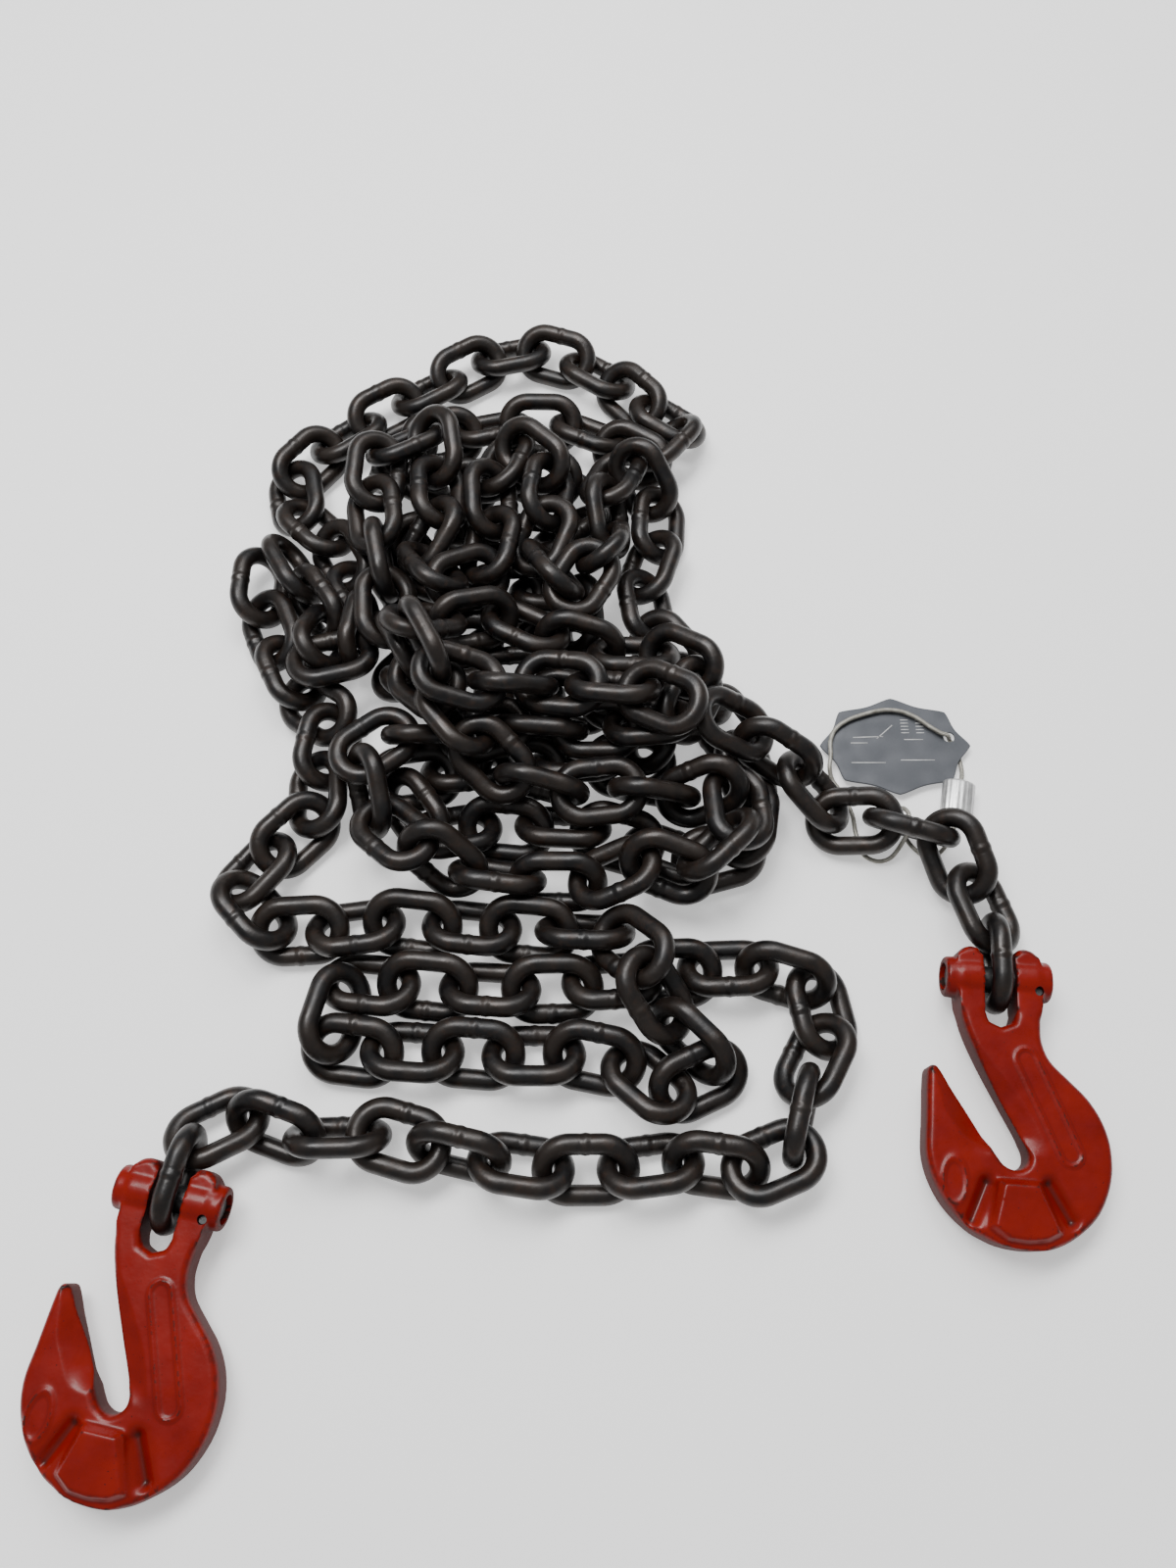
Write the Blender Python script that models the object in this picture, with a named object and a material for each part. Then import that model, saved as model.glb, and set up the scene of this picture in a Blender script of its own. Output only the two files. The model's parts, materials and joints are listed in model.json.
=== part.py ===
"""Load binder chain: a pile of oiled 10 mm short-link chain, with a clevis grab hook at each end
and a metal tag tied to it by a wire loop. Lengths are in millimetres and are scaled to metres when
a mesh is made. +X is right, +Y is back, +Z is up, and the floor is z = 0."""
import math

import bpy
import numpy as np

MM = 0.001
GAP = 0.3

# ---- chain link: 10 mm bar, 30 mm pitch
BAR = 10.0
PITCH = 30.0
INSIDE_WIDTH = 15.0
BAR_SIDES = 6
HALF_WIDTH = (INSIDE_WIDTH + BAR) / 2
CROWN_X = (PITCH + BAR) / 2
CROWN_Y = HALF_WIDTH * math.tan(math.radians(22.5))
STRAIGHT = CROWN_X - HALF_WIDTH + CROWN_Y
LINK_CORNERS = np.array(
    [
        (STRAIGHT, -HALF_WIDTH, 0),
        (CROWN_X, -CROWN_Y, 0),
        (CROWN_X, CROWN_Y, 0),
        (STRAIGHT, HALF_WIDTH, 0),
        (-STRAIGHT, HALF_WIDTH, 0),
        (-CROWN_X, CROWN_Y, 0),
        (-CROWN_X, -CROWN_Y, 0),
        (-STRAIGHT, -HALF_WIDTH, 0),
    ],
    float,
)

# ---- clevis grab hook, in its own frame: x along the load pin, y towards the clevis, pin at 0, 0
HOOK_HALF_THICK = 8.5
SLOT_HALF = 7.5
SLOT_END_Y = -16.0
BOSS_RADIUS = 12.0
BOSS_HALF = 26.0
EAR_TOP = 12.5
LOAD_PIN_RADIUS = 6.2
LOAD_PIN_HALF = 23.0
GROOVE_X = 18.0
GROOVE_RADIUS = 3.9
GROOVE_HALF = 2.1
RETAINER_Y = -6.0
RETAINER_RADIUS = 1.75
HOOK_PITCH = math.radians(3.0)
PIN_HEIGHT = 18.0
PIN_TO_LINK = 8.4

# hook pose on the floor: pin x, pin y, turn of the hook's +y from the floor's +Y, anticlockwise
LEFT_HOOK = (-185.0, -177.5, math.radians(-12))
RIGHT_HOOK = (194.5, -78.0, math.radians(-4))

# ---- route of the chain from the left hook to the right one, chosen by hand on the floor plan
LEFT_RUN = [
    (-154, -139, 18), (-129, -152, 15), (-99, -148, 15), (-69, -156, 15), (-39, -163, 15),
    (-7, -165, 15), (24, -164, 15), (56, -160, 15), (82, -167, 15), (102, -145, 17),
    (101, -116, 17), (119, -95, 16), (99, -73, 15), (72, -72, 15), (42, -72, 15),
]
FRONT_ROW = [(10, -78, 14), (-25, -80, 14), (-65, -80, 14), (-100, -78, 15), (-130, -82, 18)]
FRONT_RETURN = [(-125, -102, 18), (-95, -106, 14), (-50, -106, 14), (-5, -110, 14), (25, -120, 16)]
FRONT_KNOT = [(45, -134, 20), (57, -120, 24), (54, -100, 30), (34, -92, 34), (33, -66, 36)]
THIRD_ROW = [
    (15, -52, 34), (-15, -58, 30), (-40, -50, 30), (-70, -56, 30), (-100, -54, 32),
    (-130, -56, 32), (-155, -50, 30), (-176, -40, 24),
]
LEFT_TURN = [(-168, -20, 20), (-146, -4, 20), (-138, 20, 22), (-124, 42, 22), (-128, 62, 20)]
LEFT_RIM = [(-148, 78, 16), (-164, 98, 14), (-170, 126, 14), (-170, 152, 18), (-152, 166, 20)]
UPPER_WEAVE = [(-142, 138, 30), (-144, 108, 32), (-134, 84, 32), (-120, 108, 36), (-128, 146, 34)]
BACK_RIM = [
    (-144, 176, 26), (-166, 192, 18), (-174, 218, 18), (-156, 240, 18), (-128, 252, 18),
    (-104, 276, 18),
    (-72, 300, 20), (-48, 318, 22), (-18, 312, 20), (8, 296, 20), (30, 274, 20), (46, 248, 22),
    (42, 222, 18),
]
FLOOR_BACK = [
    (14, 246, 14), (-24, 262, 14), (-62, 256, 14), (-96, 236, 14), (-114, 212, 14),
    (-92, 206, 14), (-52, 220, 14), (-12, 214, 14), (10, 194, 14), (-14, 180, 14),
    (-52, 182, 14), (-90, 176, 14), (-108, 156, 14), (-84, 144, 14), (-46, 146, 14),
    (-12, 142, 14), (6, 124, 14), (-16, 108, 14), (-54, 112, 14), (-88, 106, 14),
]
FLOOR_FRONT = [
    (-106, 88, 14), (-84, 74, 14), (-46, 76, 14), (-8, 74, 14), (26, 70, 14), (46, 52, 14),
    (22, 38, 14), (-18, 40, 14), (-58, 40, 14), (-92, 34, 14), (-102, 12, 14), (-76, 4, 14),
    (-38, 6, 14), (0, 4, 14), (32, -4, 14), (52, -22, 16), (76, -12, 18), (86, 16, 18),
    (82, 44, 18),
]
RIGHT_COLUMN = [
    (66, 68, 22), (46, 88, 24), (34, 112, 24), (28, 140, 24), (30, 170, 26), (38, 198, 32),
]
TOP_WEAVE = [
    (26, 222, 38), (6, 212, 42), (4, 182, 44), (6, 150, 44), (-4, 124, 44), (-24, 134, 46),
    (-24, 168, 46), (-22, 202, 46), (-36, 226, 46), (-52, 202, 46), (-54, 170, 46),
    (-56, 138, 46), (-72, 122, 48), (-84, 148, 48), (-84, 182, 48), (-82, 214, 46),
    (-96, 240, 46),
]
INNER_CLIMB = [(-112, 222, 44), (-118, 192, 44), (-114, 160, 46), (-108, 128, 48), (-96, 94, 52)]
INNER_ROW = [(-82, 62, 58), (-62, 34, 56), (-32, 18, 48), (4, 16, 44), (42, 18, 42), (68, 30, 38)]
FOURTH_ROW = [
    (82, 8, 34), (72, -16, 34), (46, -14, 36), (20, -22, 38), (-8, -26, 40), (-38, -24, 42),
    (-68, -18, 42), (-92, -2, 42), (-112, 22, 42),
]
MIDDLE_ROW = [(-112, 50, 40), (-78, 54, 38), (-40, 50, 36), (0, 52, 36), (36, 52, 38), (62, 66, 44)]
TOP_TURN = [(40, 88, 54), (10, 96, 60), (-20, 104, 64), (-44, 118, 66), (-72, 110, 68)]
TOP_ROW = [
    (-92, 92, 72), (-90, 66, 72), (-62, 62, 66), (-28, 52, 62), (5, 62, 60), (34, 50, 58),
]
RIGHT_RUN = [
    (58, 50, 50), (81, 44, 40), (103, 26, 30), (118, 8, 20), (147, 6, 18), (176, 3, 19),
    (186, -25, 18), (192, -54, 18),
]
PILE = (
    FRONT_ROW + FRONT_RETURN + FRONT_KNOT + THIRD_ROW + LEFT_TURN + LEFT_RIM + UPPER_WEAVE
    + BACK_RIM + FLOOR_BACK + FLOOR_FRONT + RIGHT_COLUMN + TOP_WEAVE + INNER_CLIMB + INNER_ROW
    + FOURTH_ROW + MIDDLE_ROW + TOP_TURN + TOP_ROW
)
# how far each free link is rolled from lying flat, in degrees, in order from left to right
LEFT_ROLLS = (-15, 60, -58, 5, 62, -35, 35, -45, 48, -10, 85, -30, 25, -62, 15)
RIGHT_ROLLS = (10, 65, -30, 25, 90, 35, -20)
TIED = -4                 # the link the tag is tied to, counted back from the right clevis link
WIRE_ROOM = 3.2           # it rests on the wire, clear of the floor
PILE_ROLL = 45


def unit(v):
    return v / np.linalg.norm(v, axis=-1, keepdims=True)


def smooth_curve(points, steps=16):
    """Points along a Catmull-Rom curve through the route's own points."""
    p = np.array(points, float)
    p = np.vstack([2 * p[0] - p[1], p, 2 * p[-1] - p[-2]])
    t = np.linspace(0, 1, steps, endpoint=False)[:, None]
    out = []
    for a, b, c, d in zip(p, p[1:], p[2:], p[3:]):
        bend = 2 * b + (c - a) * t + (2 * a - 5 * b + 4 * c - d) * t**2
        out.append((bend + (3 * b - a - 3 * c + d) * t**3) / 2)
    out.append(p[-2:-1])
    return np.vstack(out)


def evenly_spaced(curve, count):
    """count + 1 points spaced evenly along a curve."""
    run = np.concatenate([[0], np.cumsum(np.linalg.norm(np.diff(curve, axis=0), axis=1))])
    at = np.linspace(0, run[-1], count + 1)
    return np.stack([np.interp(at, run, curve[:, k]) for k in range(3)], axis=1)


def hook_matrix(pose):
    """Rotation of a hook lying on the floor, its clevis a little raised, and its pin's place."""
    x, y, turn = pose
    c, s, cp, sp = math.cos(turn), math.sin(turn), math.cos(HOOK_PITCH), math.sin(HOOK_PITCH)
    rotation = np.array(((c, -s * cp, s * sp), (s, c * cp, -c * sp), (0, sp, cp)))
    return rotation, np.array((x, y, PIN_HEIGHT))


# ---- laying the links: each one is a rigid ring, and rings are eased apart until none overlap
CLEAR = BAR + 0.35        # least distance between the bar centrelines of separate links
JOINED = BAR - 0.1        # the same where two neighbours are modelled as one solid
HOLD = 12.8               # how far apart the crowns of two neighbours may be
LIFT = 1.9                # the pile starts this much taller, and sinks onto itself
TURN_INERTIA = 225.0      # a link's radius of gyration, squared
OVER_EASE = 1.5           # how much faster than evenly crowded links are eased
SINK_STEPS = 260
EASE_STEPS = 460
SINK = 0.35
RUN_TURN_PULL = 0.12      # how firmly the single links keep the turn they are given
NEAR = 53.0


def frames_along(joints, rolls):
    """Centre and axes of each link between two neighbouring joint points."""
    along = unit(np.diff(joints, axis=0))
    side = unit(np.cross((0, 0, 1.0), along))
    up = np.cross(along, side)
    roll = np.radians(rolls)[:, None]
    wide = np.cos(roll) * side + np.sin(roll) * up
    centres = (joints[1:] + joints[:-1]) / 2
    return centres, np.stack([along, wide, np.cross(along, wide)], axis=2)


def closest(p, d, q, e):
    """Closest points between segments p..p+d and q..q+e, as fractions along each."""
    r = p - q
    a, ee = (d * d).sum(-1), (e * e).sum(-1)
    b, c, f = (d * e).sum(-1), (d * r).sum(-1), (e * r).sum(-1)
    wide = a * ee - b * b
    s = np.clip((b * f - c * ee) / np.maximum(wide, 1e-9), 0, 1)
    t = (b * s + f) / ee
    t_in = np.clip(t, 0, 1)
    s = np.where(t != t_in, np.clip((b * t_in - c) / a, 0, 1), s)
    return s, t_in


def near_pairs(centres):
    gap = np.linalg.norm(centres[:, None] - centres[None], axis=2)
    return np.nonzero(np.triu(gap < NEAR, 2))


def turned(axes, turns):
    """Each link's axes, turned by a small rotation vector and squared up again."""
    x = unit(axes[:, :, 0] + np.cross(turns, axes[:, :, 0]))
    y = axes[:, :, 1] + np.cross(turns, axes[:, :, 1])
    y = unit(y - (x * y).sum(1, keepdims=True) * x)
    return np.stack([x, y, np.cross(x, y)], axis=2)


def ring_gaps(centres, axes, a, b):
    """For each pair of links, where their centrelines come closest, and how close."""
    rings = centres[:, None] + np.einsum("nij,kj->nki", axes, LINK_CORNERS)
    spans = np.roll(rings, -1, axis=1) - rings
    p, d = rings[a][:, :, None], spans[a][:, :, None]
    q, e = rings[b][:, None], spans[b][:, None]
    s, t = closest(p, d, q, e)
    on_a, on_b = p + s[..., None] * d, q + t[..., None] * e
    gap = np.linalg.norm(on_a - on_b, axis=-1).reshape(len(a), -1)
    least = gap.argmin(axis=1)
    row = np.arange(len(a))
    flat = (len(a), -1, 3)
    return gap[row, least], on_a.reshape(flat)[row, least], on_b.reshape(flat)[row, least]


def ear_rings(pose):
    """Fixed rings that fill the two ears of a hook, so that no link is laid through them."""
    turn, pin = hook_matrix(pose)
    flat = turn[:, (1, 0, 2)] * (1, 1, -1)
    spots = [(x, EAR_TOP - PITCH / 2 - BAR, w) for x in (-13.5, 13.5) for w in (-4.5, 4.5)]
    return pin + np.array(spots) @ turn.T, np.stack([flat] * len(spots))


def give(arm, normal):
    return 1 + (np.cross(arm, normal) ** 2).sum(1) / TURN_INERTIA


def eased(centres, axes, held, i, j, arm_i, arm_j, step):
    """Links i moved by a share of step, and links j the other way, each at the end of its arm."""
    normal = step / np.maximum(np.linalg.norm(step, axis=1), 1e-9)[:, None]
    step = step / (give(arm_i, normal) + give(arm_j, normal))[:, None]
    moves, turns, counts = np.zeros_like(centres), np.zeros_like(centres), np.zeros(len(centres))
    for link, arm, sign in ((i, arm_i, 1), (j, arm_j, -1)):
        np.add.at(moves, link, sign * step)
        np.add.at(turns, link, sign * np.cross(arm, step) / TURN_INERTIA)
        np.add.at(counts, link, 1)
    share = np.where(held, 0, OVER_EASE / np.maximum(counts, OVER_EASE))[:, None]
    return np.round(centres + moves * share, 7), np.round(turned(axes, turns * share), 9)


def part_rings(centres, axes, held, a, b, least, one):
    """Ease pairs of links to their least gap. Pairs in one solid are also drawn together."""
    gap, on_a, on_b = ring_gaps(centres, axes, a, b)
    hit = (gap < least) | one
    i, j = a[hit], b[hit]
    away = (on_a[hit] - on_b[hit]) / np.maximum(gap[hit], 1e-6)[:, None]
    step = (least[hit] - gap[hit])[:, None] * away
    return eased(centres, axes, held, i, j, on_a[hit] - centres[i], on_b[hit] - centres[j], step)


def hold_joints(centres, axes, held, a):
    """Keep the crowns by which links a and a + 1 hold each other within reach."""
    crown = np.array((CROWN_X, 0, 0))
    front, rear = axes[a] @ crown, -(axes[a + 1] @ crown)
    apart = centres[a + 1] + rear - centres[a] - front
    length = np.linalg.norm(apart, axis=1)
    far = length > HOLD
    step = apart[far] * (1 - HOLD / length[far])[:, None]
    return eased(centres, axes, held, a[far], a[far] + 1, front[far], rear[far], step)


def lift_off_floor(centres, axes, held, floor):
    rings = axes @ LINK_CORNERS.T
    low = rings[:, 2].argmin(axis=1)
    arm = np.take_along_axis(rings, low[:, None, None], axis=2)[:, :, 0]
    under = floor + BAR / 2 - centres[:, 2] - arm[:, 2]
    down = (under > 0) & ~held
    up = np.tile((0, 0, 1.0), (down.sum(), 1))
    step = (under[down] / give(arm[down], up))[:, None] * up
    centres[down] += step
    turns = np.zeros_like(centres)
    turns[down] = np.cross(arm[down], step) / TURN_INERTIA
    return centres, turned(axes, turns)


def settle_links(centres, axes, held, joined, home_pull, turn_pull):
    """Sink the pile under its weight and ease every link clear of the others, its neighbours'
    hold and the floor. joined[i] says that links i and i + 1 are one solid."""
    home, first = centres.copy(), axes.copy()
    centres = centres.copy()
    centres[:, 2] += (LIFT - 1) * np.where(held, 0, np.maximum(centres[:, 2] - 16, 0))
    joints = np.arange(len(joined))
    reach = np.where(joined, JOINED, CLEAR)
    floor = np.zeros(len(centres))
    floor[len(joined) + 1 + TIED] = WIRE_ROOM
    for step in range(SINK_STEPS + EASE_STEPS):
        if step < SINK_STEPS:
            centres[:, 2] -= np.where(held, 0, SINK)
            centres[:, :2] += home_pull[:, None] * (home - centres)[:, :2]
            back = np.cross(axes[:, :, 1], first[:, :, 1]) + np.cross(axes[:, :, 0], first[:, :, 0])
            axes = turned(axes, turn_pull[:, None] * back)
        if step % 8 == 0:
            a, b = near_pairs(centres)
            least = np.full(len(a), CLEAR)
            none = np.zeros(len(a), bool)
        centres, axes = part_rings(centres, axes, held, a, b, least, none)
        centres, axes = lift_off_floor(centres, axes, held, floor)
        for k in (joints[::2], joints[1::2]) * 2:
            centres, axes = hold_joints(centres, axes, held, k)
            centres, axes = part_rings(centres, axes, held, k, k + 1, reach[k], joined[k])
    return centres, axes


def clevis_link(pose):
    """A link standing on edge in the clevis, hung on the load pin."""
    _, pin = hook_matrix(pose)
    along = np.array((-math.sin(pose[2]), math.cos(pose[2]), 0))
    up = np.array((0, 0, 1.0))
    return pin + PIN_TO_LINK * along, np.stack([along, up, np.cross(along, up)], axis=1)


LINK_SPACING = 29.4
FREE_LEFT = len(LEFT_ROLLS)      # single moving links between the left clevis link and the pile
FREE_RIGHT = len(RIGHT_ROLLS)
GROUP = 7                        # pile links modelled as one solid


def grouping(count):
    """Which links share a node: the free ends link by link, the pile in groups."""
    first, last = 1 + FREE_LEFT, count - 1 - FREE_RIGHT
    cuts = list(range(first, last, GROUP))
    if last - cuts[-1] < 3:
        cuts.pop()
    groups = [range(a, b) for a, b in zip(cuts, cuts[1:] + [last])]
    joined = np.zeros(count - 1, bool)
    for g in groups:
        joined[g.start : g.stop - 1] = True
    return groups, joined


def lay_chain():
    """Every link's centre and axes, from the left clevis link to the right one."""
    ends = [clevis_link(LEFT_HOOK), clevis_link(RIGHT_HOOK)]
    start, stop = (tuple(c + PITCH / 2 * a[:, 0]) for c, a in ends)
    curve = smooth_curve([start] + LEFT_RUN + PILE + RIGHT_RUN[:-1] + [stop])
    length = np.linalg.norm(np.diff(curve, axis=0), axis=1).sum()
    inner = round(length / LINK_SPACING)
    rolls = [PILE_ROLL * (-1) ** k for k in range(inner)]
    rolls[:FREE_LEFT] = LEFT_ROLLS
    rolls[-FREE_RIGHT:] = RIGHT_ROLLS
    centres, axes = frames_along(evenly_spaced(curve, inner), rolls)
    centres = np.vstack([ends[0][0][None], centres, ends[1][0][None]])
    # the right clevis link is met from behind, so it faces the other way along the chain
    behind = ends[1][1] * (-1, 1, -1)
    axes = np.concatenate([ends[0][1][None], axes, behind[None]])
    count = len(centres)
    groups, joined = grouping(count)
    home_pull = np.full(count, 0.03)
    home_pull[: 1 + FREE_LEFT] = home_pull[-1 - FREE_RIGHT :] = 0.12
    ears = [ear_rings(pose) for pose in (LEFT_HOOK, RIGHT_HOOK)]
    centres = np.vstack([centres] + [e[0] for e in ears])
    axes = np.concatenate([axes] + [e[1] for e in ears])
    home_pull = np.append(home_pull, np.zeros(len(centres) - count))
    fixed = home_pull == 0
    fixed[[0, count - 1]] = True
    turn_pull = np.where(home_pull > 0.1, RUN_TURN_PULL, 0)
    centres, axes = settle_links(centres, axes, fixed, joined, home_pull, turn_pull)
    return centres[:count], axes[:count], groups, joined


# ---- solids: every shape is made of (corner, face) lists in millimetres
ORIGIN = np.array((-0.842, 15.786, 0))   # the middle of the floor area covered
PILE_SIDES = 5
WELD_RADIUS = 2.2


def material(name, colour, metallic, roughness):
    mat = bpy.data.materials.new(name)
    mat.use_nodes = True
    shader = mat.node_tree.nodes["Principled BSDF"]
    shader.inputs["Base Color"].default_value = (*colour, 1)
    shader.inputs["Metallic"].default_value = metallic
    shader.inputs["Roughness"].default_value = roughness
    return mat


def new_object(name, verts, faces, mat=None, origin=(0, 0, 0)):
    """An object in metres, its origin at a point given in millimetres."""
    origin = np.array(origin, float)
    mesh = bpy.data.meshes.new(name)
    mesh.from_pydata(((np.array(verts) - origin) * MM).tolist(), [], [list(f) for f in faces])
    mesh.update()
    obj = bpy.data.objects.new(name, mesh)
    bpy.context.scene.collection.objects.link(obj)
    obj.location = (origin - ORIGIN) * MM
    if mat:
        mesh.materials.append(mat)
    return obj


def loft(rings, closed=False):
    """Skin rings of equal length. Open lofts are capped at both ends."""
    n, count = len(rings[0]), len(rings)
    faces = []
    for i in range(count if closed else count - 1):
        j = (i + 1) % count
        for k in range(n):
            m = (k + 1) % n
            faces.append((i * n + k, i * n + m, j * n + m, j * n + k))
    if not closed:
        faces.append(tuple(range(n))[::-1])
        faces.append(tuple((count - 1) * n + k for k in range(n)))
    return np.vstack(rings), faces


def link_shape(sides):
    """A closed bar swept round the link's centreline, with one ridge of the bar facing inwards."""
    turn = 2 * math.pi / sides
    rings = []
    for i, corner in enumerate(LINK_CORNERS):
        back = unit(LINK_CORNERS[i - 1] - corner)
        ahead = unit(LINK_CORNERS[(i + 1) % len(LINK_CORNERS)] - corner)
        inward = unit(back + ahead)
        stretch = 1 / math.sqrt((1 - back @ ahead) / 2)
        ring = []
        for k in range(sides):
            u, w = BAR / 2 * math.cos(k * turn), BAR / 2 * math.sin(k * turn)
            ring.append(corner + inward * u * (stretch if u > 0 else 1) + np.array((0, 0, w)))
        rings.append(np.array(ring))
    return loft(rings, closed=True)


def placed(verts, centre, axes):
    return np.asarray(verts) @ np.asarray(axes).T + centre


def peg(start, end, radius, sides):
    """A prism between two points."""
    start, end = np.array(start, float), np.array(end, float)
    along = unit(end - start)
    side = unit(np.cross(along, (0.31, 0.52, 0.79)))
    up = np.cross(along, side)
    turn = 2 * math.pi * np.arange(sides)[:, None] / sides
    ring = radius * (np.cos(turn) * side + np.sin(turn) * up)
    return loft([start + ring, end + ring])


def united(name, shapes, mat, origin=(0, 0, 0), cuts=()):
    """One solid: the first shape, with the others added and then the cuts taken away."""
    base = new_object(name, *shapes[0], mat, origin)
    helpers = []
    for kind, many in (("UNION", shapes[1:]), ("DIFFERENCE", cuts)):
        if not many:
            continue
        group = bpy.data.collections.new(name + kind)
        for shape in many:
            helper = new_object("helper", *shape)
            bpy.context.scene.collection.objects.unlink(helper)
            group.objects.link(helper)
            helpers.append(helper)
        step = base.modifiers.new(kind, "BOOLEAN")
        step.operation, step.solver = kind, "EXACT"
        step.operand_type, step.collection = "COLLECTION", group
    bpy.context.scene.view_layers[0].update()
    graph = bpy.context.evaluated_depsgraph_get()
    mesh = bpy.data.meshes.new_from_object(base.evaluated_get(graph))
    base.modifiers.clear()
    base.data = mesh
    for helper in helpers:
        bpy.data.objects.remove(helper)
    for group in list(bpy.data.collections):
        bpy.data.collections.remove(group)
    return base


# ---- chain nodes
def contact(centres, axes, a, b):
    """Closest points of two links' centrelines."""
    _, on_a, on_b = ring_gaps(centres, axes, np.array([a]), np.array([b]))
    return on_a[0], on_b[0]


def make_group(name, centres, axes, members, mat):
    """Links that rest together, fused where each one bears on the next."""
    verts, faces = link_shape(PILE_SIDES)
    shapes = [(placed(verts, centres[i], axes[i]), faces) for i in members]
    for a, b in zip(members, members[1:]):
        shapes.append(peg(*contact(centres, axes, a, b), WELD_RADIUS, 4))
    return united(name, shapes, mat, centres[members[0]])


def make_free_link(name, centres, axes, i, parent, mat):
    """A link of its own, its origin at the crown of the link it hangs on."""
    ahead = 1 if parent < i else -1
    axis_at = centres[parent] + ahead * CROWN_X * axes[parent][:, 0]
    verts, faces = link_shape(BAR_SIDES)
    return new_object(name, placed(verts, centres[i], axes[i]), faces, mat, axis_at)


def make_chain(centres, axes, groups, mat):
    last = len(centres) - 1
    make_free_link("clevis_link_left", centres, axes, 0, 1, mat)
    make_free_link("clevis_link_right", centres, axes, last, last - 1, mat)
    for i in range(1, 1 + FREE_LEFT):
        make_free_link(f"link_left_{i:02d}", centres, axes, i, i + 1, mat)
    for i in range(1, 1 + FREE_RIGHT):
        make_free_link(f"link_right_{i:02d}", centres, axes, last - i, last - i - 1, mat)
    for number, members in enumerate(groups, 1):
        make_group(f"pile_{number:02d}", centres, axes, members, mat)


# ---- hooks
HOOK_OUTLINE = [
    (7.5, 9), (9.5, 12), (14.5, 12.5), (18.5, 10.5), (20, 5), (19.5, -10), (18, -22), (18.7, -30),
    (22, -38), (30, -46), (38, -54), (44, -64), (47, -76), (46, -90), (40, -104), (30, -114),
    (19, -120), (7, -121.5), (-6, -119.5), (-18, -114), (-28, -104), (-34, -93), (-36.5, -82),
    (-36, -70), (-35.5, -58), (-35, -48), (-34, -44), (-31.5, -43), (-29, -45), (-24, -53),
    (-16, -64), (-9, -75), (-4.5, -82), (-1, -86), (4, -87.5), (8.5, -85), (9.5, -80),
    (6, -72), (-1, -59), (-8, -45), (-14, -32), (-17.5, -22), (-19, -12), (-20, 5), (-18.5, 10.5),
    (-14.5, 12.5), (-9.5, 12), (-7.5, 9), (-7.5, -16), (-5.3, -21.3), (0, -23.5), (5.3, -21.3),
    (7.5, -16),
]
EDGE_ROUND = 2.0
WING_FOOT = [(-12, -84), (22, -84), (29, -113), (19, -118.5), (7, -120), (-6, -118), (-17, -112)]
WING_FACE = [(-4, -88), (14, -88), (21, -113), (15, -116), (7, -117), (-2, -116), (-9, -112)]
WING_SINK = 1.0


def rounded_slab(outline, half, edge):
    """A plate between w = -half and half, its outline's edges bevelled."""
    inner = inset(outline, edge)
    rings = [
        np.array([(x, y, w) for x, y in ring], float)
        for ring, w in ((inner, -half), (outline, edge - half), (outline, half - edge), (inner, half))
    ]
    return loft(rings)


def inset(outline, amount):
    """The outline moved inwards by a small amount. It runs clockwise."""
    p = np.array(outline, float)
    back, ahead = unit(p - np.roll(p, 1, axis=0)), unit(np.roll(p, -1, axis=0) - p)
    right, next_right = back[:, ::-1] * (1, -1), ahead[:, ::-1] * (1, -1)
    normal = unit(right + next_right)
    stretch = 1 / np.maximum((normal * right).sum(1, keepdims=True), 0.6)
    return p + amount * stretch * normal


def rest_depth(y):
    """How far below the hook's middle plane the floor is, at y along the hook."""
    return (PIN_HEIGHT + y * math.sin(HOOK_PITCH)) / math.cos(HOOK_PITCH)


def wing(side):
    """The fan-shaped foot of the cradle on one face. The lower one rests on the floor."""
    foot = np.array([(x, y, side * (HOOK_HALF_THICK - WING_SINK)) for x, y in WING_FOOT])
    face = np.array([(x, y, side * rest_depth(y)) for x, y in WING_FACE])
    return loft([foot, face] if side < 0 else [face, foot])


def in_hook(shape, pose):
    turn, pin = hook_matrix(pose)
    verts, faces = shape
    return placed(verts, pin, turn), faces


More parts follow.
